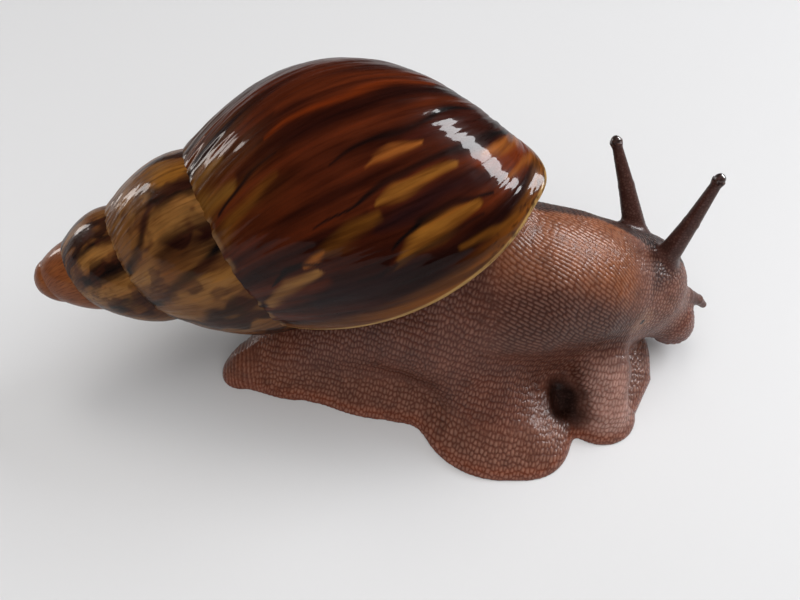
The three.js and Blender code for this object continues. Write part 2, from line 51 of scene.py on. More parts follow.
WHORL_RATE = 0.48
LIP_WIDENING_RATE = 0.256
WIDENING_TURNS = 0.8
SUTURE_DEPTH = 53.4
BASE_DEPTH = 114.5
WHORL_RADIUS = 28.35
SHOULDER_PLACE = 0.886
SHOULDER_POWER = 0.945
BASE_POWER = 2.2
COLUMELLA_RADIUS = 1.3
COLUMELLA_END = 92
SHELL_BASE = np.array([26.4, 18.05, 46.4])
SHELL_HEADING = math.radians(189.5)
SHELL_TILT = math.radians(-10.8)
LIP_TURN = math.radians(151.3)
LIP_LEAN = math.radians(19.1)
LIP_OPEN = math.radians(27.7)
LIP_THICKNESS = 1.2
SPIRE_END = 6.5
BLUNT_TIP = 9.3  # z of the rounded tip of the spire
TIP_ROUNDING = (2.0, 3.0)  # turns over which the tip grows round
STRAIGHTENING = (2.5, 3.3)  # turns over which the whorls fade into a straight cone
STRAIGHT_TURN = 3.0  # the cone is the one through the suture of this turn
STRAIGHT_SHARE = 0.7  # how far the last whorls give way to it
FRONT_START = -0.3  # turns; the last whorl counts from here
FRONT_END = 0.45  # turns; the aperture's plane cuts only what is in front of this
LIP_FLARE = 0.9  # the upper lip bends outwards by this at its edge
FLARE_DEPTH = 3.0  # how far behind the aperture's plane the flare begins
FLARE_START = math.radians(42)  # span of the flare on the base of the whorl
FLARE_END = math.radians(70)

# ---- dimensions of the soft body, mm

SOLE_RIM = 1.0
SOLE_EDGE_HEIGHT = 8.7
SOLE_EDGE_RISE = 7.5
EYE_RADIUS = 1.05
EYE_STANDOFF = 1.35
EYE_CUP_RADIUS = 1.2
EYE_CUP_DROP = 0.25  # the cup's centre lies below the eye's by this
EYE_SINK = 0.05  # the eye reaches into its cup by this
SKIN_GAP = 0.12  # between skin and shell
MANTLE_RECESS = 1.5
MANTLE_DEPTH = 6.5

# Limbs as stations (x, y, z, radius)
SOLE = [(-42, -1.3, 0, 4.4), (-30, 2.5, 0, 10.5), (-12, 5, 0, 17.5), (6, 5.5, 0, 21.5), (22, 5.5, 0, 22.5),
        (33, 5, 0, 14)]
PLEAT_SOLE = [(33.8, -2, 0, 12), (32.6, -11, 0, 7.9)]  # the sole under the right pleat
BACK = [(-39.5, 0.3, 3.2, 3.6), (-30, 3, 6, 6.4), (-17, 4.5, 10.5, 9.8), (-3, 4, 17, 13.5),
        (8, 3.4, 23.5, 14.5), (17, 3.6, 24.2, 13.8), (26, 5.6, 21.5, 12.6), (34.5, 8.4, 18.6, 10.6),
        (40.5, 9.4, 17, 9.2)]
STALK = [(6, 5, 26, 13), (0, 8, 38, 13), (-6, 10, 44, 12)]
RIGHT_APRON = [(4, -1, 14, 11), (9, -9, 7, 7.5), (11, -15, 3.5, 4)]
LEFT_APRON = [(8, 6, 14, 11), (10, 17, 6, 7), (12, 23, 3, 4)]
THROAT = [(18, 2, 13, 10), (31, 4, 11.5, 8.6), (37.5, 6.5, 9.5, 6.2)]
PIT = [(27.4, -16.2, 4.6, 0.7), (25, -12.8, 5.2, 1.7), (24, -10.2, 5.8, 1.2)]
PLEAT = [(30, 1.5, 15.5, 6), (32.6, -6.5, 9.2, 4.8), (33.6, -12.8, 4, 4)]
SNOUT = [(43.5, 8.4, 13, 6.6), (49.2, 7, 9, 4.7), (50.9, 6.6, 6.5, 4.2)]
UPPER_TENTACLES = {
    "right": [(42.4, 8.2, 21, 3.6), (43.7, 7.6, 26.5, 2.3), (45.2, 7.2, 36, 1.5), (46.2, 6.8, 45.2, 0.95)],
    "left": [(40, 12.5, 21, 3.6), (39.4, 14.6, 26.5, 2.3), (36, 18.2, 35.5, 1.5), (33, 20.8, 42.6, 0.95)],
}
LOWER_TENTACLES = {
    "right": [(48.9, 7.8, 15.6, 2.6), (51.6, 8.3, 14.5, 1.7), (55.2, 9, 12.2, 1.1), (57.3, 9.4, 10, 0.75)],
    "left": [(45.2, 15.1, 15.6, 2.6), (47.4, 17.2, 14.5, 1.7), (49.7, 19.8, 12.2, 1.1),
             (51.1, 21.4, 10, 0.75)],
}

# Rounded parts as an ellipse's centre and radii
RIGHT_LOBE = (11.8, -10.8), (16.2, 15.6)
RIGHT_LOBE_FRONT = (17.5, -18.2), (7.6, 7.6)
LEFT_LOBE = (13, 16), (18, 14)
FRONT_EDGE = (34, 4), (11, 11.5)
LEFT_CORNER = (33, 16), (11, 10)
HEAD = (41.8, 9.6, 16.4), (7.8, 8.8, 9.6)

FLESH_NODES = ["mantle", "tail", "trunk", "foot", "foot_lobe_right", "foot_pleat_right", "neck", "head",
               "mouth", "upper_tentacle_right", "upper_tentacle_left", "lower_tentacle_right",
               "lower_tentacle_left"]

# ---- small numeric tools


def smooth_min(a, b, k):
    h = np.clip(0.5 + 0.5 * (b - a) / k, 0, 1)
    return b + (a - b) * h - k * h * (1 - h)


def smooth_max(a, b, k):
    return -smooth_min(-a, -b, k)


def smoothstep(low, high, value):
    h = np.clip((value - low) / (high - low), 0, 1)
    return h * h * (3 - 2 * h)


def unit(vectors):
    return vectors / np.maximum(np.linalg.norm(vectors, axis=-1, keepdims=True), 1e-9)


def random_at(cells, seed):
    """A fixed random number from 0 to 1 for each whole-number cell."""
    h = np.full(cells[0].shape, seed * 374761393 + 1013904223, np.uint32)
    for cell, prime in zip(cells, (2654435761, 2246822519, 3266489917)):
        h ^= cell.astype(np.int64).astype(np.uint32) * np.uint32(prime)
        h ^= h >> np.uint32(15)
        h *= np.uint32(2246822519)
        h ^= h >> np.uint32(13)
    return (h >> np.uint32(8)).astype(np.float32) / float(1 << 24)


def noise(axes, seed):
    """Smooth noise from -1 to 1 with one bump per unit of each axis."""
    cell = [np.floor(v) for v in axes]
    f = [v - c for v, c in zip(axes, cell)]
    f = [v * v * (3 - 2 * v) for v in f]
    total = 0
    for corner in itertools.product((0, 1), repeat=len(axes)):
        weight = math.prod(v if end else 1 - v for v, end in zip(f, corner))
        total = total + weight * random_at([c + end for c, end in zip(cell, corner)], seed)
    return 2 * total - 1


def cells_of(axes, seed, jitter):
    """Distances to the nearest and the second nearest point of a jittered grid, and the nearest's number."""
    base = [np.floor(v) for v in axes]
    nearest = np.full(axes[0].shape, 9.0)
    second = nearest.copy()
    number = np.zeros(axes[0].shape)
    for step in itertools.product((-1, 0, 1), repeat=len(axes)):
        cell = [b + s for b, s in zip(base, step)]
        d = 0
        for axis, value in enumerate(axes):
            point = cell[axis] + 0.5 + jitter * (random_at(cell, seed + axis) - 0.5)
            d = d + (value - point) ** 2
        d = np.sqrt(d)
        closer = d < nearest
        second = np.where(closer, nearest, np.minimum(second, d))
        number = np.where(closer, random_at(cell, seed + 7), number)
        nearest = np.where(closer, d, nearest)
    return nearest, second, number


def bumps(axes, seed, jitter, groove):
    """Rounded bumps from 0 in the grooves to 1 on top, and a random number for each bump."""
    nearest, second, number = cells_of(axes, seed, jitter)
    edge = np.clip((second - nearest) / groove, 0, 1)
    dome = 1 - 0.45 * np.clip(nearest, 0, 1) ** 2
    return (1 - (1 - edge) ** 2) * dome, number


def rowed_bumps(along, row, seed):
    """Rounded bumps end to end in long rows, and a random number for each bump."""
    number_of_row = np.floor(row)
    along = along + random_at((number_of_row, 0 * row), seed)
    cell = (np.floor(along), number_of_row)
    shift = 0.3 * (random_at(cell, seed + 1) - 0.5)
    a = np.clip(2 * (along - cell[0] + shift) - 1, -1, 1)
    b = 2 * (row - number_of_row) - 1
    return (1 - 0.6 * a ** 4) * (1 - b ** 2) ** 0.8, random_at(cell, seed + 2)


# ---- shape of the shell

APEX_WAY = np.array([math.cos(SHELL_HEADING) * math.cos(SHELL_TILT),
                     math.sin(SHELL_HEADING) * math.cos(SHELL_TILT), math.sin(SHELL_TILT)])
ACROSS = unit(np.cross(APEX_WAY, [0, 0, 1]))
DOWN = np.cross(APEX_WAY, ACROSS)
SHELL_MIDDLE = SHELL_BASE + 40 * APEX_WAY


def suture_z(t):
    """Depth of the suture below the tip."""
    return SUTURE_DEPTH * np.exp(-WHORL_RATE * t)


def base_z(t):
    return BASE_DEPTH * np.exp(-WHORL_RATE * t)


def widest_z(t):
    return suture_z(t) + SHOULDER_PLACE * (suture_z(t - 1) - suture_z(t))


def widest_r(t):
    slack = (WHORL_RATE - LIP_WIDENING_RATE) * WIDENING_TURNS * (1 - np.exp(-t / WIDENING_TURNS))
    return WHORL_RADIUS * np.exp(-(WHORL_RATE * t - slack))


def base_r(t, z):
    place = np.clip((z - widest_z(t)) / (base_z(t) - widest_z(t)), 0, 1)
    return widest_r(t) * (1 - place ** 2) ** (1 / BASE_POWER)


def suture_r(t):
    return base_r(t + 1, suture_z(t))


SHOULDER_SHARE = 0.33  # of the profile's steps lie on the shoulder


def profile(t, k):
    """Radius and depth at step k of the profile, from 0 at the suture to 1 on the axis."""
    u = np.clip(k / SHOULDER_SHARE, 0, 1)
    a = np.clip((k - SHOULDER_SHARE) / (1 - SHOULDER_SHARE), 0, 1) * math.pi / 2
    rise = np.sin(math.pi / 2 * u) ** SHOULDER_POWER
    shoulder = suture_r(t) + (widest_r(t) - suture_r(t)) * rise
    r = np.where(u < 1, shoulder, widest_r(t) * np.maximum(np.cos(a), 0) ** (2 / BASE_POWER))
    z = np.where(u < 1, suture_z(t) + (widest_z(t) - suture_z(t)) * u,
                 widest_z(t) + (base_z(t) - widest_z(t)) * np.sin(a))
    return r, z


def shell_point(r, z, t):
    """Point at radius r and depth z below the tip, at turn t."""
    angle = LIP_TURN + 2 * math.pi * t
    along = np.asarray(BASE_DEPTH - z)[..., None] * APEX_WAY
    across = np.asarray(r * np.cos(angle))[..., None] * ACROSS
    down = np.asarray(r * np.sin(angle))[..., None] * DOWN
    return SHELL_BASE + along + (across + down)


def surface_point(t, k):
    """Point of the shell's surface, with the flared upper lip and the rounded tip of the spire."""
    r, z = profile(t, k)
    a = np.clip((k - SHOULDER_SHARE) / (1 - SHOULDER_SHARE), 0, 1) * math.pi / 2
    opening = beyond_aperture(np.moveaxis(shell_point(r, z, t), -1, 0))
    middle = (FLARE_START + FLARE_END) / 2
    span = smoothstep(FLARE_START, middle, a) * smoothstep(FLARE_END, middle, a)
    flare = LIP_FLARE * span * smoothstep(-FLARE_DEPTH, 0, opening) * (t < FRONT_END)
    cone_r = suture_r(STRAIGHT_TURN) / suture_z(STRAIGHT_TURN) * z
    r = r + (cone_r - r) * STRAIGHT_SHARE * smoothstep(*STRAIGHTENING, t)
    blunt = (z ** 4 + BLUNT_TIP ** 4) ** 0.25
    z = z + (blunt - z) * smoothstep(*TIP_ROUNDING, t)
    return shell_point(r + flare * np.cos(a), z + flare * np.sin(a), t)


OUTWARD = math.cos(LIP_TURN) * ACROSS + math.sin(LIP_TURN) * DOWN
ONWARD = math.sin(LIP_TURN) * ACROSS - math.cos(LIP_TURN) * DOWN
APERTURE_WAY = (math.cos(LIP_LEAN) * (math.cos(LIP_OPEN) * ONWARD + math.sin(LIP_OPEN) * OUTWARD)
                - math.sin(LIP_LEAN) * APEX_WAY)
APERTURE_POINT = shell_point(suture_r(0.0), suture_z(0.0), 0.0)


def beyond_aperture(p):
    """How far points lie in front of the aperture's plane."""
    return sum((p[i] - APERTURE_POINT[i]) * APERTURE_WAY[i] for i in range(3))


def whorl_distance(r, z, t):
    """Rough distance to the outline of the whorl at turn t, in the plane through the axis."""
    shoulder_span = widest_z(t) - suture_z(t)
    u = np.clip((z - suture_z(t)) / shoulder_span, 1e-3, 1)
    rise = np.sin(math.pi / 2 * u)
    swell = widest_r(t) - suture_r(t)
    slope = swell * SHOULDER_POWER * rise ** (SHOULDER_POWER - 1) * np.cos(math.pi / 2 * u)
    slope = slope * math.pi / 2 / shoulder_span
    shoulder = (r - suture_r(t) - swell * rise ** SHOULDER_POWER) / np.sqrt(1 + slope ** 2)
    above = np.hypot(np.maximum(r - suture_r(t), 0), suture_z(t) - z)
    base_span = base_z(t) - widest_z(t)
    q = np.maximum(z - widest_z(t), 0) / base_span
    w = np.maximum(r, 1e-3) / widest_r(t)
    steepness = np.hypot(2 * q / base_span, BASE_POWER * w ** (BASE_POWER - 1) / widest_r(t))
    base = (q ** 2 + w ** BASE_POWER - 1) / np.maximum(steepness, 0.02)
    return np.where(z < suture_z(t), above, np.where(z < widest_z(t), shoulder, base))


def shell_distances(p):
    """Rough distances to the last whorl's front part and to the rest of the shell."""
    d = [p[i] - SHELL_BASE[i] for i in range(3)]
    z = BASE_DEPTH - sum(d[i] * APEX_WAY[i] for i in range(3))
    across = sum(d[i] * ACROSS[i] for i in range(3))
    down = sum(d[i] * DOWN[i] for i in range(3))
    r = np.hypot(across, down)
    turn = ((np.arctan2(down, across) - LIP_TURN) / (2 * math.pi) - FRONT_START) % 1 + FRONT_START
    first = whorl_distance(r, z, turn)
    front = np.where(turn < FRONT_END, first, 9.0)
    rest = np.where(turn >= FRONT_END, first, 9.0)
    for back in (1, 2):
        rest = np.minimum(rest, whorl_distance(r, z, turn + back))
    pillar = np.maximum(r - COLUMELLA_RADIUS, z - COLUMELLA_END)
    return front, np.minimum(rest, pillar)


# ---- shape of the soft body


def distance_to(p, point):
    return np.sqrt(sum((v - c) ** 2 for v, c in zip(p, point)))


def limb(p, a, b):
    """Distance to a round limb between two stations."""
    ab = [b[i] - a[i] for i in range(3)]
    length2 = sum(v * v for v in ab)
    along = sum((p[i] - a[i]) * ab[i] for i in range(3)) / length2
    h = np.clip(along, 0, 1)
    gap = np.sqrt(sum((p[i] - a[i] - h * ab[i]) ** 2 for i in range(3)))
    return gap - (a[3] + (b[3] - a[3]) * h)


def chain(p, stations, k):
    """Distance to limbs along stations, joined with softness k."""
    d = limb(p, stations[0], stations[1])
    for a, b in zip(stations[1:], stations[2:]):
        d = smooth_min(d, limb(p, a, b), k)
    return d


def ellipse(p, centre, radii):
    """Rough distance to an ellipse or an ellipsoid."""
    q = [(v - c) / r for v, c, r in zip(p, centre, radii)]
    k0 = np.sqrt(sum(v * v for v in q))
    k1 = np.sqrt(sum((v / r) ** 2 for v, r in zip(q, radii)))
    return k0 * (k0 - 1) / np.maximum(k1, 1e-9)


def foot_plan(p):
    """Distance to the outline of the sole, seen from above."""
    flat = (p[0], p[1], 0 * p[2])
    plan = chain(flat, SOLE, 4)
    plan = smooth_min(plan, ellipse(p[:2], *RIGHT_LOBE), 2.5)
    plan = smooth_min(plan, ellipse(p[:2], *RIGHT_LOBE_FRONT), 2.5)
    plan = smooth_min(plan, ellipse(p[:2], *LEFT_LOBE), 4)
    plan = smooth_min(plan, chain(flat, PLEAT_SOLE, 1), 1.4)
    plan = smooth_min(plan, ellipse(p[:2], *FRONT_EDGE), 3)
    return smooth_min(plan, ellipse(p[:2], *LEFT_CORNER), 3)


def foot_field(p):
    """Distance to the foot, whose top rises from a thin rim."""
    plan = foot_plan(p)
    top = SOLE_RIM + SOLE_EDGE_HEIGHT * (1 - np.exp(-np.maximum(-plan, 0) / SOLE_EDGE_RISE))
    return smooth_max(plan, p[2] - top, 1.2)


def tentacle_field(p):
    d = 99.0
    for stations in [*UPPER_TENTACLES.values(), *LOWER_TENTACLES.values()]:
        d = np.minimum(d, chain(p, stations, 0.3))
    return d


def body_field(p):
    """Distance to the soft body, as if without the shell."""
    d = smooth_min(foot_field(p), chain(p, BACK, 5), 5)
    for stations, k in ((STALK, 4), (RIGHT_APRON, 5), (LEFT_APRON, 5), (THROAT, 4)):
        d = smooth_min(d, chain(p, stations, 4), k)
    d = smooth_max(d, -chain(p, PIT, 3), 2)
    d = smooth_min(d, chain(p, PLEAT, 3), 2.2)
    d = smooth_min(d, ellipse(p, *HEAD), 4)
    d = smooth_min(d, chain(p, SNOUT, 3), 3)
    d = smooth_min(d, tentacle_field(p), 1.6)
    for stations in UPPER_TENTACLES.values():
        centre, way = eye_place(stations)
        cup = distance_to(p, centre - EYE_CUP_DROP * way) - EYE_CUP_RADIUS
        d = smooth_min(d, cup, 0.5)
        d = np.maximum(d, EYE_RADIUS - EYE_SINK - distance_to(p, centre))
    return d


def eye_place(stations):
    """Centre of an eye and the way its tentacle points."""
    before, tip = (np.array(station[:3], float) for station in stations[-2:])
    way = unit(tip - before)
    return tip + EYE_STANDOFF * way, way


def flesh_field(p):
    """Distance to all the flesh: the body cut back from the shell, and the mantle in its opening."""
    body = body_field(p)
    front, rest = shell_distances(p)
    opening = beyond_aperture(p)
    shell = np.minimum(np.maximum(front, opening), rest) - SKIN_GAP
    outside = smooth_max(body, -shell, 0.3)
    filled = np.minimum(opening + MANTLE_RECESS, np.maximum(body, opening - 0.5))
    room = np.maximum(np.maximum(front + LIP_THICKNESS + SKIN_GAP, 0.3 - rest), -opening - MANTLE_DEPTH)
    return np.minimum(outside, np.maximum(filled, room))


# ---- meshes from fields

NET_LOW = np.array([-49.0, -30.0, -1.35])
NET_HIGH = np.array([60.0, 32.0, 58.0])
NET_CELL = 0.38
SLAB = 24  # grid layers worked out at a time


def skin_solid(p):
    """Distance to the flesh above the ground."""
    return np.maximum(flesh_field(p), -p[2])


def grid_values(field, low, cell, count):
    """The field at each point of a grid."""
    axes = [(low[i] + cell * np.arange(count[i])).astype(np.float32) for i in range(3)]
    values = np.empty(count, np.float32)
    for start in range(0, count[0], SLAB):
        part = np.meshgrid(axes[0][start:start + SLAB], axes[1], axes[2], indexing="ij")
        values[start:start + SLAB] = field(part)
    return values


def net_vertices(values, low, cell):
    """A vertex for each grid cell that the zero level crosses, and its number at the cell."""
    count = values.shape
    corner = {}
    for shift in itertools.product((0, 1), repeat=3):
        corner[shift] = values[tuple(slice(s, n - 1 + s) for s, n in zip(shift, count))]
    crossings = np.zeros([n - 1 for n in count], np.float32)
    place = np.zeros([3] + [n - 1 for n in count], np.float32)
    for axis in range(3):
        for start in [c for c in corner if c[axis] == 0]:
            end = tuple(1 if i == axis else start[i] for i in range(3))
            a, b = corner[start], corner[end]
            crossed = (a < 0) != (b < 0)
            share = np.where(crossed, a / np.where(crossed, a - b, 1), 0)
            for i in range(3):
                place[i] += crossed * (share if i == axis else start[i])
            crossings += crossed
    used = crossings > 0
    number = np.full(used.shape, -1)
    number[used] = np.arange(used.sum())
    return low + cell * (np.argwhere(used) + (place[:, used] / crossings[used]).T), number


def net_quads(inside, number):
    """A quad across each grid edge that has one end inside, facing outwards."""
    count = inside.shape
    quads = []
    for axis in range(3):
        u, v = (axis + 1) % 3, (axis + 2) % 3
        a = np.take(inside, range(count[axis] - 1), axis)
        b = np.take(inside, range(1, count[axis]), axis)
        here = np.argwhere(a != b)
        here = here[(here[:, u] > 0) & (here[:, v] > 0) & (here[:, u] < count[u] - 1)
                    & (here[:, v] < count[v] - 1)]
        du, dv = np.eye(3, dtype=int)[u], np.eye(3, dtype=int)[v]
        quad = np.stack([number[tuple((here - shift).T)] for shift in (du + dv, dv, 0 * du, du)], 1)
        outward = a[tuple(here.T)]
        quads.append(np.where(outward[:, None], quad, quad[:, ::-1]))
    return np.concatenate(quads)


def surface_net(field, low, high, cell):
    """Vertices and quads of the field's zero level."""
    count = [int(math.ceil((high[i] - low[i]) / cell)) + 1 for i in range(3)]
    values = grid_values(field, low, cell, count)
    vertices, number = net_vertices(values, low, cell)
    return vertices, net_quads(values < 0, number)


def slope_of(field, vertices, step=0.04):
    """Slope of the field at each vertex, which points outwards."""
    slopes = []
    for axis in range(3):
        shift = step * np.eye(3)[axis]
        ahead, behind = vertices + shift, vertices - shift
        slopes.append((field(ahead.T) - field(behind.T)) / (2 * step))
    return np.stack(slopes, 1)


def settle(field, vertices, rounds, reach):
    """Moves vertices onto the field's zero level, each by no more than the reach."""
    start = vertices.copy()
    for _ in range(rounds):
        slope = slope_of(field, vertices)
        size2 = np.maximum((slope ** 2).sum(1), 0.3)
        vertices = vertices - slope * (field(vertices.T) / size2)[:, None]
        shift = vertices - start
        length = np.linalg.norm(shift, axis=1, keepdims=True)
        vertices = start + shift * np.minimum(1, reach / np.maximum(length, 1e-9))
    return vertices


def make_mesh(name, vertices, faces):
    """Mesh object from vertices in mm and faces of three or four corners each."""
    mesh = bpy.data.meshes.new(name)
    faces = np.asarray(faces, np.int32)
    sides = faces.shape[1]
    mesh.vertices.add(len(vertices))
    mesh.vertices.foreach_set("co", (np.asarray(vertices, np.float32) * MM).ravel())
    mesh.loops.add(faces.size)
    mesh.loops.foreach_set("vertex_index", faces.ravel())
    mesh.polygons.add(len(faces))
    mesh.polygons.foreach_set("loop_start", np.arange(0, faces.size, sides, dtype=np.int32))
    mesh.update(calc_edges=True)
    mesh.polygons.foreach_set("use_smooth", np.ones(len(faces), bool))
    obj = bpy.data.objects.new(name, mesh)
    bpy.context.scene.collection.objects.link(obj)
    return obj


def subdivided(vertices, quads):
    """The quad mesh after one smooth subdivision."""
    obj = make_mesh("net", vertices, quads)
    obj.modifiers.new("smooth", "SUBSURF").levels = 1
    finished = obj.evaluated_get(bpy.context.evaluated_depsgraph_get()).to_mesh()
    points = np.empty(len(finished.vertices) * 3, np.float32)
    finished.vertices.foreach_get("co", points)
    corners = np.empty(len(finished.loops), np.int32)
    finished.loops.foreach_get("vertex_index", corners)
    mesh = obj.data
    bpy.data.objects.remove(obj)
    bpy.data.meshes.remove(mesh)
    return points.reshape(-1, 3).astype(float) / MM, corners.reshape(-1, 4)


def add_number(obj, name, values):
    layer = obj.data.attributes.new(name, "FLOAT", "POINT")
    layer.data.foreach_set("value", np.asarray(values, np.float32).ravel())


def add_colour(obj, name, colours):
    layer = obj.data.attributes.new(name, "FLOAT_COLOR", "POINT")
    opaque = np.concatenate([colours, np.ones((len(colours), 1))], 1)
    layer.data.foreach_set("color", opaque.astype(np.float32).ravel())


def linear(code):
    """Linear colour of a 0xRRGGBB code."""
    channels = np.array([code >> 16, code >> 8 & 255, code & 255]) / 255
    return np.where(channels < 0.04045, channels / 12.92, ((channels + 0.055) / 1.055) ** 2.4)


def paint_over(colours, code, amount):
    """Lays a colour over others, as thick as the amount from 0 to 1 at each vertex."""
    amount = np.asarray(amount)[:, None]
    return colours * (1 - amount) + linear(code) * amount


def painted(ground, layers):
    """A ground colour with (colour, amount) layers over it, each on top of the one before."""
    colours = np.tile(linear(ground), (len(layers[0][1]), 1))
    for code, amount in layers:
        colours = paint_over(colours, code, amount)
    return colours


# ---- materials


class Surface:
    """A material's node tree round one Principled shader, with short calls that add nodes."""

    def __init__(self, name, **constants):
        self.material = bpy.data.materials.new(name)
        self.material.use_nodes = True
        self.tree = self.material.node_tree
        self.shader = self.tree.nodes["Principled BSDF"]
        for socket, value in constants.items():
            self.shader.inputs[socket.replace("_", " ")].default_value = value

    def node(self, kind, inputs=(), **settings):
        made = self.tree.nodes.new(kind)
        for key, value in settings.items():
            setattr(made, key, value)
        for socket, value in dict(inputs).items():
            self.join(value, made.inputs[socket])
        return made

    def join(self, value, socket):
        if isinstance(value, bpy.types.NodeSocket):
            self.tree.links.new(value, socket)
        else:
            socket.default_value = value

    def attribute(self, name, output="Fac"):
        return self.node("ShaderNodeAttribute", attribute_name=name).outputs[output]

    def math(self, operation, a, b=0.0):
        return self.node("ShaderNodeMath", {0: a, 1: b}, operation=operation).outputs[0]

    def noise(self, vector, scale, detail, distortion=0.0):
        """Noise with scale bumps to the vector's unit: a metre, or a millimetre for the growth lines."""
        inputs = {"Vector": vector, "Scale": scale, "Detail": detail, "Distortion": distortion}
        return self.node("ShaderNodeTexNoise", inputs).outputs["Fac"]

    def spread(self, value, low, high, to_low, to_high):
        """Maps low..high to to_low..to_high, and holds it there outside."""
        inputs = {"Value": value, "From Min": low, "From Max": high, "To Min": to_low, "To Max": to_high}
        return self.node("ShaderNodeMapRange", inputs, clamp=True).outputs["Result"]

    def mix(self, factor, a, b, blend="MIX"):
        made = self.node("ShaderNodeMix", data_type="RGBA", blend_type=blend)
        colours = [socket for socket in made.inputs if socket.type == "RGBA"]
        self.join(factor, made.inputs[0])
        self.join(a, colours[0])
        self.join(b, colours[1])
        return [socket for socket in made.outputs if socket.type == "RGBA"][0]

    def bump(self, height, distance, strength):
        inputs = {"Height": height, "Distance": distance, "Strength": strength}
        return self.node("ShaderNodeBump", inputs).outputs["Normal"]

    def finish(self, colour=None, roughness=None, normal=None):
        for name, value in (("Base Color", colour), ("Roughness", roughness), ("Normal", normal)):
            if value is not None:
                self.join(value, self.shader.inputs[name])
        return self.material


GRAIN_DEPTH = 0.00005  # m; the relief too fine for the meshes


def rgba(code):
    return (*linear(code), 1.0)


def place_vector(surface):
    return surface.node("ShaderNodeTexCoord").outputs["Object"]


def skin_material():
    s = Surface("wet_skin", Subsurface_Weight=0.10, Subsurface_Radius=(0.9, 0.4, 0.25),
                Subsurface_Scale=0.0009, Coat_Weight=0.2, Coat_Roughness=0.2, IOR=1.4,
                Specular_IOR_Level=0.15)
    where = place_vector(s)
    tint = s.attribute("tint", "Color")
    height = s.attribute("height")
    mottle = s.noise(where, 380.0, 4.0)
    grain = s.noise(where, 2600.0, 2.0)
    # Painted shade: the grooves between the tubercles are darkened by how deep they lie, and the tops are
    # paler.
    groove_shade = s.mix(1.0, tint, rgba(0xC8AEA6), "MULTIPLY")
    pale = s.mix(0.20, tint, rgba(0xC89C88))
    tops = s.mix(s.spread(height, 0.6, 1.0, 0.0, 0.75), tint, pale)
    colour = s.mix(s.spread(height, 0.1, 0.8, 0.0, 1.0), groove_shade, tops)
    colour = s.mix(s.spread(mottle, 0.45, 0.75, 0.0, 0.4), colour, rgba(0x35201C))
    colour = s.mix(s.spread(grain, 0.5, 0.8, 0.0, 0.08), colour, rgba(0xA88070))
    wet = s.attribute("wet")
    roughness = s.math("SUBTRACT", s.spread(grain, 0.3, 0.7, 0.40, 0.58), s.math("MULTIPLY", wet, 0.24))
    return s.finish(colour, roughness, s.bump(grain, GRAIN_DEPTH, 0.5))


def shell_material():
    s = Surface("glossy_shell", Coat_Weight=0.25, Coat_Roughness=0.06, IOR=1.4, Specular_IOR_Level=0.03)
    growth, place = s.attribute("growth"), s.attribute("place")
    paint = s.attribute("paint", "Color")
    lines = s.node("ShaderNodeCombineXYZ", {0: growth, 1: s.math("MULTIPLY", place, 0.07)})
    streaks = s.noise(lines.outputs[0], 1.0, 4.0, 0.1)
    hairs = s.noise(lines.outputs[0], 5.0, 3.0)
    clouds = s.noise(place_vector(s), 150.0, 3.0)
    deep = s.mix(1.0, paint, rgba(0x8C6A60), "MULTIPLY")
    bright = s.mix(1.0, paint, rgba(0xFFE0C0), "SOFT_LIGHT")
    colour = s.mix(s.spread(streaks, 0.34, 0.52, 0.5, 0.0), paint, deep)
    colour = s.mix(s.spread(streaks, 0.54, 0.72, 0.0, 0.30), colour, bright)
    colour = s.mix(s.spread(clouds, 0.5, 0.75, 0.0, 0.25), colour, deep)
    roughness = s.spread(hairs, 0.3, 0.7, 0.24, 0.40)
    return s.finish(colour, roughness, s.bump(hairs, GRAIN_DEPTH, 0.5))


def eye_material():
    s = Surface("dark_eye", Coat_Weight=1.0, Coat_Roughness=0.04, IOR=1.45)
    lens = s.attribute("lens")
    speckle = s.noise(place_vector(s), 1500.0, 3.0)
    skin = s.mix(s.spread(speckle, 0.4, 0.7, 0.0, 1.0), rgba(0x2A1D1A), rgba(0x4A3430))
    colour = s.mix(lens, skin, rgba(0x050404))
    return s.finish(colour, s.spread(lens, 0.0, 1.0, 0.3, 0.1))


def floor_material():
    s = Surface("pale_floor", Roughness=0.6, Specular_IOR_Level=0.2)
    return s.finish(rgba(0xD2D3D5))


# ---- the skin

NECK_SLANT = math.radians(28)
GRAIN_LEAN = math.radians(14)  # the long tubercles of the flank lean forward at their upper ends
BACK_RADIUS = 13.0  # turns the angle round the back into a length
BAND_STATIONS = [(12, -7.0), (30, -7.0), (41, -2.0)]  # x, and how far the dark band lies from the top line
DUSK_AND_SHADE_STATIONS = [(12, 30), (19, 30), (28, 25), (38, 17)]  # x, and the height of the dark band of the flank: partly its own dusky colour, partly painted shade below the shell's lip
PLEAT_FRONT = [(32.5, -12.5, 10.5, 1), (34, -15, 4, 1)]  # painted light on the front of the right pleat, which faces the light
GENITAL_PORE = (38.5, -3.0, 19.7)

# Sizes of the tubercles: forwards, then upwards on the flank or outwards on the neck
NECK_TUBERCLES = (1.3, 0.62)
FLANK_TUBERCLES = (0.62, 1.35)
FOOT_TUBERCLES = (0.72, 1.15)
HEAD_TUBERCLES = (0.7, 0.8)
TENTACLE_TUBERCLES = 0.55
TAIL_STRIPES = 0.85
SKIN_DEPTHS = {"flank": 0.24, "neck": 0.20, "head": 0.15, "tail_tip": 0.09, "tentacle": 0.06}
SKIN_BRIGHTNESS = 0.8
MANTLE_COLOUR = 0x8E6E50
LEVEL_SURFACE = 0.7  # tubercles rise above the solids from this level on, and the grooves sink below


def back_line(x):
    """Where the middle of the back lies in y and z at each x."""
    stations = np.array(BACK)
    return [np.interp(x, stations[:, 0], stations[:, i]) for i in (1, 2)]


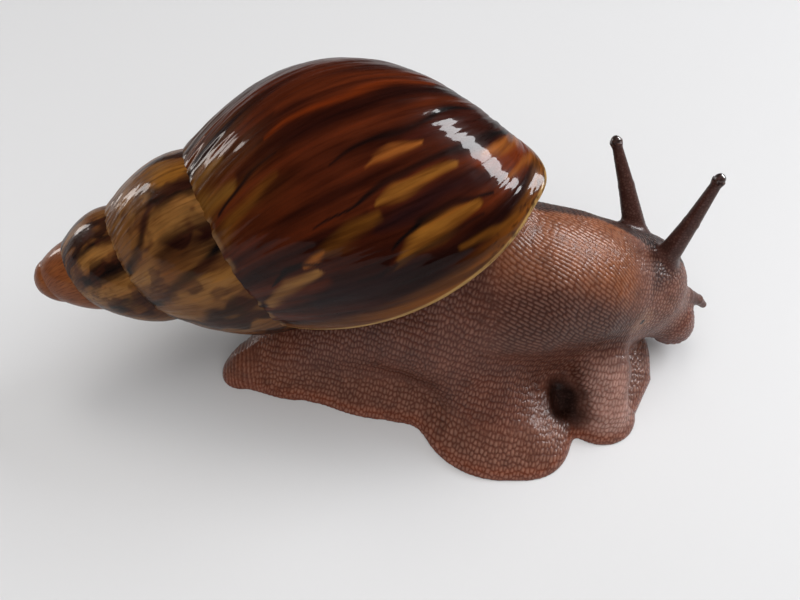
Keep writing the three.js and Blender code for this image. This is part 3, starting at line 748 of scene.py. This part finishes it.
def skin_zones(p):
    """Where each kind of skin lies, and the pit that is painted near black as shade, from 0 to 1 at each
    vertex.
    """
    x, y, z = p
    centre_y, centre_z = back_line(x)
    angle = np.arctan2(-(y - centre_y), z - centre_z)  # 0 on top, positive down the right side
    band = angle * BACK_RADIUS - np.interp(x, *zip(*BAND_STATIONS))
    edge = -foot_plan(p)
    tentacle = smoothstep(0.9, 0.3, tentacle_field(p)) * smoothstep(22, 26, z)
    for stations in LOWER_TENTACLES.values():
        tentacle = np.maximum(tentacle, 0.7 * smoothstep(0.8, 0.2, chain(p, stations[1:], 0.3)))
    head = smoothstep(33, 40, x) * smoothstep(6, 9, z)
    pore = distance_to(p, GENITAL_PORE)
    return {
        "band": band,
        "tentacle": tentacle,
        "head": head,
        "neck": smoothstep(4, 12, x) * smoothstep(18, 25, z) * (1 - head),
        "foot": smoothstep(9, 5, z),
        "rim": smoothstep(2.2, 0.5, edge) * smoothstep(4.0, 1.8, z),
        "tail_tip": smoothstep(-36, -39.5, x),
        "midline": smoothstep(5.0, 3.4, np.abs(band)) * smoothstep(8, 14, x) * smoothstep(14, 18, z),
        # the pit is painted near black as shade, and its relief is flattened
        "shaded_pit": smoothstep(3.2, -0.4, chain(p, PIT, 3) + 0.5 * noise([v / 2.5 for v in p], 72)),
        "pore": smoothstep(0.75, 0.5, pore),
        "pore_patch": smoothstep(4.0, 1.5, pore),
        "lips": smoothstep(2.6, 0.6, limb(p, SNOUT[1], SNOUT[2]) + 1) * smoothstep(44, 48, x),
    }


def skin_height(p, zones):
    """Depth of the relief in mm, the tubercles' height from 0 to 1, and a random number for each."""
    x, y, z = p
    down = np.abs(zones["band"])
    sway = 0.5 * noise([v / 6 for v in p], 31)
    along = x * math.cos(NECK_SLANT) + down * math.sin(NECK_SLANT) + sway
    over = -x * math.sin(NECK_SLANT) + down * math.cos(NECK_SLANT) + sway
    neck, neck_number = rowed_bumps(along / NECK_TUBERCLES[0], over / NECK_TUBERCLES[1], 11)
    slope = 0.77 * z - 0.64 * np.abs(y - back_line(x)[0]) + sway
    across = x * math.cos(GRAIN_LEAN) - slope * math.sin(GRAIN_LEAN)
    upward = x * math.sin(GRAIN_LEAN) + slope * math.cos(GRAIN_LEAN)
    patterns = []
    for sizes, seed, jitter, groove in ((FLANK_TUBERCLES, 21, 0.6, 0.75), (FOOT_TUBERCLES, 41, 0.7, 0.75),
                                        (HEAD_TUBERCLES, 51, 0.8, 0.65)):
        patterns.append(bumps([across / sizes[0], upward / sizes[1]], seed, jitter, groove))
    (level, number), (foot, foot_number), (fine, fine_number) = patterns
    tiny, _ = bumps([v / TENTACLE_TUBERCLES for v in p], 61, 0.8, 0.7)
    wavy_x = x + 0.35 * noise([v / 3 for v in p], 71)
    stripes = 0.5 + 0.5 * np.sin(2 * math.pi * wavy_x / TAIL_STRIPES)
    depth = np.full(len(x), SKIN_DEPTHS["flank"])
    for pattern, pattern_number, zone, most in ((foot, foot_number, "foot", 1.0),
                                                (neck, neck_number, "neck", 1.0),
                                                (fine, fine_number, "head", 1.0),
                                                (stripes, fine_number, "tail_tip", 0.6),
                                                (0.5 + 0.3 * tiny, fine_number, "tentacle", 1.0)):
        share = most * zones[zone]
        level = level * (1 - share) + pattern * share
        number = np.where(share > 0.5, pattern_number, number)
        depth = depth * (1 - share) + SKIN_DEPTHS.get(zone, SKIN_DEPTHS["flank"]) * share
    depth = depth * (1 - 0.85 * zones["rim"]) * (1 - 0.9 * zones["shaded_pit"])
    depth = depth * (0.8 + 0.4 * noise([v / 5 for v in p], 91))
    return depth, level, number


def skin_tint(p, zones, number):
    """Colour of the skin before the grooves and the grain, with painted light on the pleat's front, painted
    shade in the pit, and a dark flank band that is partly painted shade.
    """
    x, y, z = p
    cloud = 0.5 + 0.5 * noise([v / 6 for v in p], 81)
    # Painted shade, partly the flank's own dusky colour: a dark band along the flank below the shell's lip.
    dusk_and_shade_z = np.interp(x, *zip(*DUSK_AND_SHADE_STATIONS))
    dusk_and_shade = smoothstep(12, 2, np.abs(z - dusk_and_shade_z)) * smoothstep(2, 14, x) * (1 - zones["tentacle"])
    warm = zones["neck"] * smoothstep(0, 7, z - dusk_and_shade_z - 3) * smoothstep(43, 34, x)
    # Painted light: the front of the right pleat is paler where it faces the light.
    pale = smoothstep(7.5, 1, chain(p, PLEAT_FRONT, 2))
    tail = smoothstep(-24, -36, x)
    brow = smoothstep(38, 41, x) * smoothstep(23, 26.5, z)
    tint = painted(0x7C4E3F, (
        (0x5E3A31, 0.5 * cloud),
        (0x845A4A, 0.6 * zones["foot"]),
        # painted shade mixed with the flank's dusky colour, below the shell's lip
        (0x42251D, 0.75 * dusk_and_shade),
        (0x96572F, 0.85 * warm),
        # painted light on the pleat's front
        (0xC8A094, 0.75 * pale),
        (0x906455, 0.75 * zones["head"]),
        (0x84503A, 0.7 * tail),
        (0x8C5440, 0.85 * zones["rim"]),
        (0x3A2423, 0.85 * brow),
        (0x281819, 0.95 * zones["midline"]),
        (0x50322C, 0.9 * zones["tentacle"]),
        (0x7A4238, 0.85 * zones["lips"]),
        (0xA87C60, 0.6 * zones["pore_patch"]),
        (0x200E0B, zones["pore"]),
        # painted shade: the deep pit between the pleat and the lobe is near black
        (0x070404, 0.97 * zones["shaded_pit"]),
    ))
    return SKIN_BRIGHTNESS * tint * (0.9 + 0.2 * number)[:, None]


def make_skin():
    """One skin for all the flesh, with its tubercles as real relief."""
    vertices, quads = surface_net(skin_solid, NET_LOW, NET_HIGH, NET_CELL)
    vertices = settle(skin_solid, vertices, 2, 0.45 * NET_CELL)
    vertices, quads = subdivided(vertices, quads)
    vertices = settle(skin_solid, vertices, 2, 0.2 * NET_CELL)
    p = vertices.T
    zones = skin_zones(p)
    depth, level, number = skin_height(p, zones)
    front, rest = shell_distances(p)
    opening = beyond_aperture(p)
    near_shell = np.minimum(np.maximum(front, opening - 0.3), rest)
    inside = smoothstep(0.3, -0.5, opening) * smoothstep(2, 0, front)
    calm = smoothstep(0.1, 1.2, near_shell) * smoothstep(0.05, 0.7, p[2]) * (1 - inside)
    outward = unit(slope_of(skin_solid, vertices))
    vertices = vertices + outward * (calm * depth * (level - LEVEL_SURFACE))[:, None]
    vertices[:, 2] = np.maximum(vertices[:, 2], 0)
    skin = make_mesh("skin", vertices, quads)
    level = level * (1 - 0.9 * zones["shaded_pit"])
    add_number(skin, "height", np.clip(level * calm + 0.55 * (1 - calm), 0, 1))
    add_number(skin, "wet", np.clip(zones["rim"] + 0.7 * zones["lips"] + 0.35 * zones["head"], 0, 1))
    add_colour(skin, "tint", paint_over(skin_tint(p, zones, number), MANTLE_COLOUR, inside))
    skin.data.materials.append(skin_material())
    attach(skin, "root")
    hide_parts(*FLESH_NODES)


# ---- the shell

GROWTH_DRIFT = 0.07  # turns; the growth lines lag behind the lip's line by this from suture to axis
TURN_LENGTH = 170.0  # mm of growth in the last turn
PROFILE_LENGTH = 86.0  # mm from suture to axis at the lip
PROFILE_STEPS = 190
STEPS_PER_TURN = 700
INNER_STEPS = 26
EDGE_STEPS = 7
INNER_REACH = 0.075  # turns; the inner wall is seen this far behind the lip
LIP_BACK = LIP_THICKNESS / 2 / TURN_LENGTH  # turns; leaves room for the lip's rounded edge
SHOWN_SHARE = 0.47  # beyond the first turn only this part of the profile, up to the next suture, shows
SHOWN_TURNS = (1.46, 1.62)  # turns over which the rest gives way
APEX_CAP = {"growth": SPIRE_END, "place": 0.2, "turn": 3.4, "covered": 0.0}  # sets its colours
APEX_CAP_RADIUS = 1.25
APEX_CAP_SINK = 0.12
FLAME_UNITS = (1000, 100, 1000)  # parts of a turn, of the profile and of a turn
FLAME_SOFTNESS = 1.8  # widens the soft edge of every flame

# Flames on the whorls: a colour, the softness of its edge, and stations along it. A station holds the growth
# in thousandths of a turn, the place in hundredths of the way from the suture to the axis, and the half width
# in thousandths of a turn. Later flames lie on top.
FLAMES = [
    ("olive", 0.6, (272, 2, 12), (262, 9, 4)),
    ("olive", 0.6, (235, 1, 12), (222, 8, 5)),
    ("ochre", 0.6, (178, 1, 6), (196, 7, 11), (200, 20, 4)),
    ("rust", 0.7, (264, 30, 3), (262, 55, 8), (270, 72, 12)),
    ("ember", 0.7, (243, 26, 2), (243, 48, 5), (246, 66, 3)),
    ("rust", 0.7, (207, 5, 6), (206, 30, 9), (208, 60, 8), (213, 78, 4)),
    ("red", 0.7, (178, 50, 4), (182, 66, 13), (190, 82, 13)),
    ("orange", 0.5, (171, 41, 3), (172, 45, 5.5), (171, 54, 2)),
    ("rust", 0.6, (136, 36, 3), (138, 48, 9), (140, 62, 5)),
    ("amber", 0.45, (138, 38, 2), (139, 46, 5.8), (140, 58, 3)),
    ("ember", 0.6, (132, 63, 8), (116, 73, 18), (100, 86, 14)),
    ("orange", 0.6, (138, 64, 3), (132, 73, 7), (118, 82, 6)),
    ("orange", 0.7, (100, 66, 3), (92, 76, 5), (80, 86, 4)),
    ("ochre", 0.6, (119, 25, 3), (121, 31, 8), (128, 38, 4)),
    ("orange", 0.5, (113, 20, 3), (117, 24.5, 4.5), (120, 28, 2)),
    ("rust", 0.7, (66, 2, 3), (76, 9, 7), (88, 22, 4)),
    ("tan", 0.45, (72, 4, 3), (91, 12, 9), (103, 22, 3)),
    ("rust", 0.6, (82, 36, 3), (93, 48, 12), (95, 62, 8), (88, 74, 4)),
    ("amber", 0.4, (83, 37.5, 3), (94, 46, 9.8), (96, 57, 4)),
    ("ochre", 0.6, (68, 50, 2), (65, 56, 4), (63, 62, 2)),
    ("mahogany", 0.7, (228, 10, 4), (229, 40, 8), (232, 78, 8)),
    ("black", 0.5, (212, 5, 2), (219, 14, 3.5), (221, 24, 1)),
    ("black", 0.5, (188, 34, 1), (190, 48, 4.5), (194, 62, 3), (196, 72, 1)),
    ("black", 0.4, (143, 28, 1), (149, 42, 3), (153, 54, 4.5), (152, 70, 4), (134, 81, 2)),
    ("purple", 0.7, (118, 38, 4), (120, 50, 9), (116, 62, 6)),
    ("black", 0.4, (100, 8, 1), (113, 14, 3.5), (116, 20, 3), (110, 25, 1)),
    ("black", 0.4, (96, 38, 1), (108, 46, 3.2), (106, 53, 3), (99, 61, 1)),
    ("purple", 0.8, (62, 12, 4), (70, 24, 11), (74, 40, 6)),
    ("black", 0.5, (80, 28, 1), (83, 42, 2.5), (85, 58, 1)),
    ("tan", 0.5, (1035, 0, 16), (1040, 13, 16)),
    ("tan", 0.5, (1075, 20, 18), (1082, 43, 18)),
    ("tan", 0.5, (1140, 0, 14), (1135, 11, 14)),
    ("tan", 0.5, (1190, 24, 18), (1192, 43, 18)),
    ("tan", 0.5, (1252, 15, 14), (1250, 23, 14)),
    ("amber", 0.5, (1262, 32, 16), (1258, 44, 16)),
    ("mahogany", 0.6, (1145, 19, 10), (1148, 30, 18), (1150, 44, 12)),
    ("black", 0.45, (1076, 3, 6), (1098, 20, 8), (1128, 44, 9)),
    ("black", 0.45, (1159, 0, 8), (1190, 16, 9), (1230, 27, 7), (1223, 44, 9)),
    ("tan", 0.5, (2085, 0, 24), (2088, 43, 24)),
    ("tan", 0.5, (2180, 16, 16), (2180, 43, 16)),
    ("black", 0.6, (2045, 16, 10), (2045, 44, 13)),
    ("black", 0.6, (2135, 10, 10), (2135, 44, 16)),
    ("black", 0.6, (2208, 8, 8), (2205, 44, 12)),
]

SHELL_COLOURS = {
    "black": 0x0D0808, "mahogany": 0x1D0805, "red": 0x34120A, "rust": 0x50200C,
    "ember": 0x662708, "orange": 0x8E5220, "ochre": 0x643C12, "amber": 0x88581F,
    "olive": 0x6E4A1C, "tan": 0x875E30, "purple": 0x1E0E10, "ground": 0x2E0F06,
    "suture": 0x56300F, "spire": 0x755029, "spire_clouds": 0x60391B, "spire_flames": 0x1E0D0A,
    "lip": 0x7E4A18, "lip_edge": 0xAC8850, "specks": 0x2A160C, "rim": 0x8C6A44,
    "smudges": 0x381A10, "apex": 0x7A4526, "covered": 0x9A8474, "inside": 0xB49C86,
}


def lip_turns(k):
    """Turn at which the profile's step k meets the aperture's plane."""
    turns = np.linspace(FRONT_START, FRONT_END, 151)[:, None]
    gap = beyond_aperture(np.moveaxis(surface_point(turns, k[None, :]), -1, 0))
    found = np.empty(len(k))
    for j in range(len(k)):
        crossed = np.nonzero((gap[:-1, j] > 0) & (gap[1:, j] <= 0))[0]
        i = crossed[np.abs(turns[crossed, 0]).argmin()] if len(crossed) else len(turns) - 2
        share = gap[i, j] / (gap[i, j] - gap[i + 1, j]) if len(crossed) else 1.0
        found[j] = turns[i, 0] + np.clip(share, 0, 1) * (turns[1, 0] - turns[0, 0])
    return found


def even_profile():
    """Steps of the profile that lie evenly along it, and the place from 0 to 1 of each."""
    k = np.linspace(0, 1, 2001)
    r, z = profile(0.3, k)
    length = np.concatenate([[0], np.cumsum(np.hypot(np.diff(r), np.diff(z)))])
    place = np.linspace(0, 1, PROFILE_STEPS)
    return np.interp(place, length / length[-1], k), place


def wrinkles(growth, place):
    """Height of the growth wrinkles in mm."""
    g, s = growth * TURN_LENGTH, place * PROFILE_LENGTH
    fine = 0.030 * noise((g / 0.55, s / 9), 101) + 0.018 * noise((g / 0.32, s / 6), 102)
    folds = 0.050 * noise((g / 1.5, s / 16), 103) + 0.07 * noise((g / 4.5, s / 22), 104)
    dents = 0.026 * noise((g / 1.3, s / 2.0), 105)
    near_suture = 0.12 * noise((g / 1.2, s / 9), 106) * smoothstep(0.24, 0.02, place)
    scallops = 0.14 * noise((g / 1.2, s / 3), 107) * smoothstep(0.03, 0.0, place)
    scallops = scallops * smoothstep(0.9, 0.5, growth)
    rests = 0.10 * smoothstep(0.72, 0.9, noise((g / 2.6, 0 * s), 108))
    return fine + folds + dents + near_suture + scallops + rests


def shell_paint(growth, place, turn, covered):
    """Colour of the shell at each vertex, before the fine streaks."""
    g, s = growth * TURN_LENGTH, place * PROFILE_LENGTH
    spire = smoothstep(0.45, 0.95, growth)
    layers = (ground_layers(g, s, growth, place, spire) + flame_layers(g, s, growth, place)
              + edge_layers(g, s, growth, place, spire))
    layers += [("apex", 0.85 * smoothstep(2.55, 3.05, turn)), ("covered", covered)]
    return painted(SHELL_COLOURS["ground"], [(SHELL_COLOURS[name], amount) for name, amount in layers])


def ground_layers(g, s, growth, place, spire):
    """The broad dark and bright bands of the last whorl and the zigzag flames of the spire."""
    hidden = smoothstep(0.34, 0.42, growth) * (1 - spire)  # the far side of the last whorl
    bands = noise((g / 4.2, s / 42), 201) + 0.5 * noise((g / 1.7, s / 26), 202)
    amber = noise((g / 6.5, s / 24), 213) + 0.3 * noise((g / 1.6, s / 12), 214)
    zigzag = 3.2 * noise((s / 5.5, g / 40), 204)
    flames = noise(((g + zigzag) / 5.2, s / 30), 205) + 0.35 * noise((g / 2.0, s / 10), 206)
    return [
        ("suture", 0.6 * smoothstep(0.30, 0.05, place) * smoothstep(0.15, 0.2, growth)),
        ("spire", spire),
        ("spire_clouds", spire * (0.5 + 0.5 * noise((g / 6, s / 9), 203))),
        ("mahogany", smoothstep(-0.05, -0.55, bands) * (1 - spire)),
        ("rust", 0.6 * smoothstep(0.1, 0.6, bands) * (1 - spire)),
        ("ochre", hidden * smoothstep(0.30, 0.55, amber)),
        ("amber", hidden * smoothstep(0.45, 0.75, amber)),
        ("spire_flames", 0.9 * smoothstep(-0.15, 0.22, flames) * spire),
    ]


def flame_layers(g, s, growth, place):
    """The flames of the table, with wavy edges and patchy colour."""
    wavy_g = growth + 0.0050 * noise((g / 7, s / 9), 207) + 0.0014 * noise((g / 0.9, s / 4), 208)
    wavy_s = place + 0.035 * noise((g / 5, s / 10), 209) + 0.012 * noise((g / 1.1, s / 12), 215)
    patchy = 0.85 + 0.3 * noise((g / 2.5, s / 9), 216)
    layers = []
    for name, softness, *stations in FLAMES:
        amount = flame_amount(wavy_g, wavy_s, np.array(stations) / FLAME_UNITS, FLAME_SOFTNESS * softness)
        layers.append((name, np.clip(amount * patchy, 0, 1)))
    return layers


def edge_layers(g, s, growth, place, spire):
    """The paler lip with its specks, the rim along the suture and the smudges of the spire."""
    behind = growth - GROWTH_DRIFT * place
    lip = smoothstep(0.030, 0.012, behind) * (growth < 0.3)
    specks = smoothstep(0.35, 0.6, noise((g / 0.5, s / 0.9), 211))
    rim = smoothstep(0.020, 0.006, place) * smoothstep(-0.2, 0.4, noise((g / 1.4, s / 4), 212))
    smudge = smoothstep(0.0, 0.5, noise((g / 3.5, s / 6), 217) + 0.4 * noise((g / 1.1, s / 2.5), 218))
    return [
        ("lip", 0.85 * lip * (0.65 + 0.35 * noise((g / 0.8, s / 14), 210))),
        ("lip_edge", 0.9 * smoothstep(0.0068, 0.0045, behind) * (growth < 0.3)),
        ("specks", 0.7 * specks * lip * smoothstep(0.45, 0.6, place)),
        ("rim", 0.5 * rim),
        ("smudges", 0.55 * smudge * spire),
    ]


def flame_amount(growth, place, stations, softness):
    """How strongly a flame along its stations covers each vertex, from 0 to 1."""
    wide = TURN_LENGTH / PROFILE_LENGTH
    nearest = np.full(growth.shape, 9.0)
    for (g0, s0, half0), (g1, s1, half1) in zip(stations, stations[1:]):
        run = np.array([g1 - g0, (s1 - s0) / wide])
        along = ((growth - g0) * run[0] + (place - s0) / wide * run[1]) / (run @ run)
        h = np.clip(along, 0, 1)
        gap = np.hypot(growth - g0 - h * run[0], (place - s0) / wide - h * run[1])
        nearest = np.minimum(nearest, gap / (half0 + (half1 - half0) * h))
    return 0.93 * smoothstep(1 + softness, 1 - softness, nearest)


def grid_faces(rows, columns):
    """Quads of a grid of vertices."""
    index = np.arange(rows * columns).reshape(rows, columns)
    return np.stack([index[:-1, :-1], index[:-1, 1:], index[1:, 1:], index[1:, :-1]], -1).reshape(-1, 4)


def grid_normals(points):
    """Unit normals at the points of a grid, all on one side of it."""
    across = np.gradient(points, axis=0)
    along = np.gradient(points, axis=1)
    return unit(np.cross(across, along))


def outer_wall(k_full, place_full, lip):
    """The outside from the lip to the spire: its points, its normals, and what its colours depend on."""
    shrunk = 1 - math.exp(-WHORL_RATE * SPIRE_END)
    steps = int(STEPS_PER_TURN * shrunk / WHORL_RATE)
    tau = LIP_BACK - np.log(1 - shrunk * np.linspace(0, 1, steps)[:, None]) / WHORL_RATE
    place = place_full[None, :] * (1 - (1 - SHOWN_SHARE) * smoothstep(*SHOWN_TURNS, tau))
    turn = tau + np.interp(place, place_full, lip)
    growth = tau + GROWTH_DRIFT * place
    points = surface_point(turn, np.interp(place, place_full, k_full))
    normal = grid_normals(points)
    if ((points - SHELL_MIDDLE) * normal).sum(-1).mean() < 0:
        normal = -normal
    covered = smoothstep(0.985, 1.02, turn) * smoothstep(0.47, 0.50, place)
    relief = wrinkles(growth, place) * smoothstep(3.3, 0.2, turn) * smoothstep(0.001, 0.007, tau - LIP_BACK)
    relief = relief * smoothstep(1.0, 0.93, place) * (1 - covered)
    traits = {"growth": growth, "place": place, "turn": turn, "covered": covered}
    return points + normal * relief[..., None], normal, traits


def lip_edge(outer, normal):
    """Rows of points round the lip's edge, from the outside to the inside."""
    half = LIP_THICKNESS / 2
    forward = unit(outer[0] - outer[2])
    rows = []
    for step in range(1, EDGE_STEPS):
        a = math.pi * step / EDGE_STEPS
        rows.append(outer[0] - normal[0] * half * (1 - math.cos(a)) + forward * half * math.sin(a))
    return np.array(rows)


def inner_wall(k_full, lip, outer_normal):
    """Rows of points on the inside of the lip, from its edge inwards."""
    reach = np.linspace(0, INNER_REACH, INNER_STEPS)[:, None]
    points = surface_point(LIP_BACK + reach + lip[None, :], k_full[None, :] + 0 * reach)
    normal = grid_normals(points)
    if (normal[0] * outer_normal).sum() < 0:
        normal = -normal
    return points - normal * LIP_THICKNESS


def make_shell():
    """The shell's outside, its lip and the inside of the lip in one mesh, with a cap on the tip."""
    k_full, place_full = even_profile()
    lip = lip_turns(k_full)
    outer, normal, traits = outer_wall(k_full, place_full, lip)
    inner = inner_wall(k_full, lip, normal[0])
    edge = lip_edge(outer, normal)
    rows = np.concatenate([inner[::-1], edge[::-1], outer])
    place = np.tile(place_full, (len(inner) + len(edge), 1))
    hidden = {"growth": GROWTH_DRIFT * place, "place": place, "turn": 0 * place, "covered": 0 * place}
    cap, cap_faces = apex_cap()
    for name, value in APEX_CAP.items():
        traits[name] = np.concatenate([hidden[name].ravel(), traits[name].ravel(), np.full(len(cap), value)])
    colours = shell_paint(**traits)
    colours[:len(inner) * PROFILE_STEPS] = linear(SHELL_COLOURS["inside"])
    vertices = np.concatenate([rows.reshape(-1, 3), cap])
    faces = np.concatenate([grid_faces(len(rows), PROFILE_STEPS), cap_faces + rows.size // 3])
    shell = make_mesh("shell_surface", vertices, faces)
    add_number(shell, "growth", traits["growth"] * TURN_LENGTH)
    add_number(shell, "place", traits["place"] * PROFILE_LENGTH)
    add_colour(shell, "paint", colours)
    merge_poles(shell)
    shell.data.materials.append(shell_material())
    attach(shell, "root")
    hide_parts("shell")


def apex_cap():
    """The small cap that closes the middle of the first whorls."""
    centre = shell_point(0.0, BLUNT_TIP + APEX_CAP_RADIUS - APEX_CAP_SINK, 0.0)
    angles = np.linspace(0, 0.6 * math.pi, 16)
    return dome(centre, (APEX_WAY, ACROSS, DOWN), APEX_CAP_RADIUS, angles)


def dome(centre, axes, radii, angles, sides=48):
    """Points and faces of a round form, in rings at the angles from the first of its axes."""
    turns = np.linspace(0, 2 * math.pi, sides, endpoint=False)
    around = np.cos(turns)[:, None] * axes[1] + np.sin(turns)[:, None] * axes[2]
    points = (centre + (np.cos(angles) * radii)[:, None, None] * axes[0]
              + (np.sin(angles) * radii)[:, None, None] * around)
    index = np.arange(len(angles) * sides).reshape(-1, sides)
    onward = np.roll(index, -1, axis=1)
    faces = np.stack([index[:-1], onward[:-1], onward[1:], index[1:]], -1)
    return points.reshape(-1, 3), faces.reshape(-1, 4)


def merge_poles(obj):
    """Joins vertices that lie in one place, and turns the faces outwards."""
    mesh = bmesh.new()
    mesh.from_mesh(obj.data)
    bmesh.ops.remove_doubles(mesh, verts=mesh.verts, dist=1e-7)
    bmesh.ops.recalc_face_normals(mesh, faces=mesh.faces)
    mesh.to_mesh(obj.data)
    mesh.free()


# ---- the eyes

LENS_LEAN = math.radians(28)  # the lens leans to the snail's left by this
LENS_SPAN = (0.52, 0.40)  # angle from the lens's middle over which it begins
BULB_SHARE = 0.965  # the bulb's radius as a share of the eye's
LENS_SHARE = 0.03  # the lens stands out by this share


def make_eye(side):
    """A round bulb with a dark lens that stands out a little."""
    centre, way = eye_place(UPPER_TENTACLES[side])
    lens_way = Vector(way)
    across = Vector((0, -1, 0)).cross(lens_way).normalized()
    aside = lens_way.cross(across)
    axis = np.array(lens_way * math.cos(LENS_LEAN) - aside * math.sin(LENS_LEAN))
    side_a = np.array(across)
    angles = np.linspace(0, math.pi, 40)
    lens = smoothstep(*LENS_SPAN, angles)
    radii = EYE_RADIUS * (BULB_SHARE + LENS_SHARE * lens)
    vertices, faces = dome(centre, (axis, side_a, np.cross(axis, side_a)), radii, angles)
    bulb = make_mesh(f"eye_bulb_{side}", vertices, faces)
    add_number(bulb, "lens", np.repeat(lens, len(vertices) // len(lens)))
    merge_poles(bulb)
    bulb.data.materials.append(eye_material())
    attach(bulb, "root")
    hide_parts(f"eye_{side}")


# ---- floor, light and camera

CAMERA_PLACE = Vector((-8, -80, 118)) * MM
CAMERA_PITCH = math.radians(50)
FOCAL_PIXELS = 650
IMAGE_WIDTH = 800
SENSOR_WIDTH = 36
FLOOR_HALF = 4000  # mm, half the floor's side
DAYLIGHT = (0.97, 0.98, 1.0)


def make_floor():
    corners = FLOOR_HALF * np.array([[-1, -1, 0], [1, -1, 0], [1, 1, 0], [-1, 1, 0]])
    floor = make_mesh("floor", corners, [[0, 1, 2, 3]])
    floor.data.materials.append(floor_material())


def area_light(name, way, distance, size, power, colour, glossy=True, diffuse=True, along=None):
    """A light panel, of size (width, height) in metres, that shines on the snail from one direction."""
    light = bpy.data.lights.new(name, "AREA")
    light.energy = power
    light.shape = "RECTANGLE"
    light.size, light.size_y = size
    light.color = colour
    obj = bpy.data.objects.new(name, light)
    way = Vector(way).normalized()
    obj.location = way * distance + Vector((0, 0, 0.02))
    obj.rotation_euler = way.to_track_quat("Z", "Y").to_euler()
    if along:  # turned until its width lies in this direction
        across = way.cross(Vector(along)).normalized()
        obj.rotation_euler = Matrix((across.cross(way), across, way)).transposed().to_euler()
    obj.visible_glossy = glossy
    obj.visible_diffuse = diffuse
    bpy.context.scene.collection.objects.link(obj)


def make_lights():
    """A slanting window with its own glint, a lamp, a pale ceiling and a wall that only reflects."""
    window = (0.73, 0.28, 0.62)
    slant = (0.65, -0.59, -0.48)
    area_light("window", window, 1.0, (0.7, 0.3), 5.2, DAYLIGHT, glossy=False, along=slant)
    area_light("window_glint", window, 0.85, (0.62, 0.20), 13.0, DAYLIGHT, diffuse=False, along=slant)
    area_light("lamp", (-0.05, 0.36, 0.93), 0.9, (0.34, 0.34), 1.6, (1.0, 0.96, 0.92), glossy=False)
    area_light("ceiling", (0.0, -0.35, 0.94), 1.5, (2.4, 2.4), 31.0, (1.0, 0.98, 0.96), glossy=False)
    area_light("wall", (-0.86, 0.47, 0.19), 1.0, (0.13, 0.40), 2.2, (1.0, 0.93, 0.88), diffuse=False)
    world = bpy.context.scene.world or bpy.data.worlds.new("world")
    bpy.context.scene.world = world
    world.use_nodes = True
    background = world.node_tree.nodes["Background"]
    background.inputs["Color"].default_value = (*DAYLIGHT, 1.0)
    background.inputs["Strength"].default_value = 0.06


def make_camera():
    data = bpy.data.cameras.new("camera")
    data.sensor_width = SENSOR_WIDTH
    data.lens = FOCAL_PIXELS * SENSOR_WIDTH / IMAGE_WIDTH
    data.clip_start = 0.005
    data.clip_end = 50
    camera = bpy.data.objects.new("camera", data)
    camera.location = CAMERA_PLACE
    camera.rotation_euler = (math.pi / 2 - CAMERA_PITCH, 0, 0)
    bpy.context.scene.collection.objects.link(camera)
    bpy.context.scene.camera = camera


# ---- everything

make_camera()
make_lights()
make_floor()
make_skin()
make_shell()
for eye_side in UPPER_TENTACLES:
    make_eye(eye_side)
bpy.context.scene.view_settings.view_transform = "Standard"
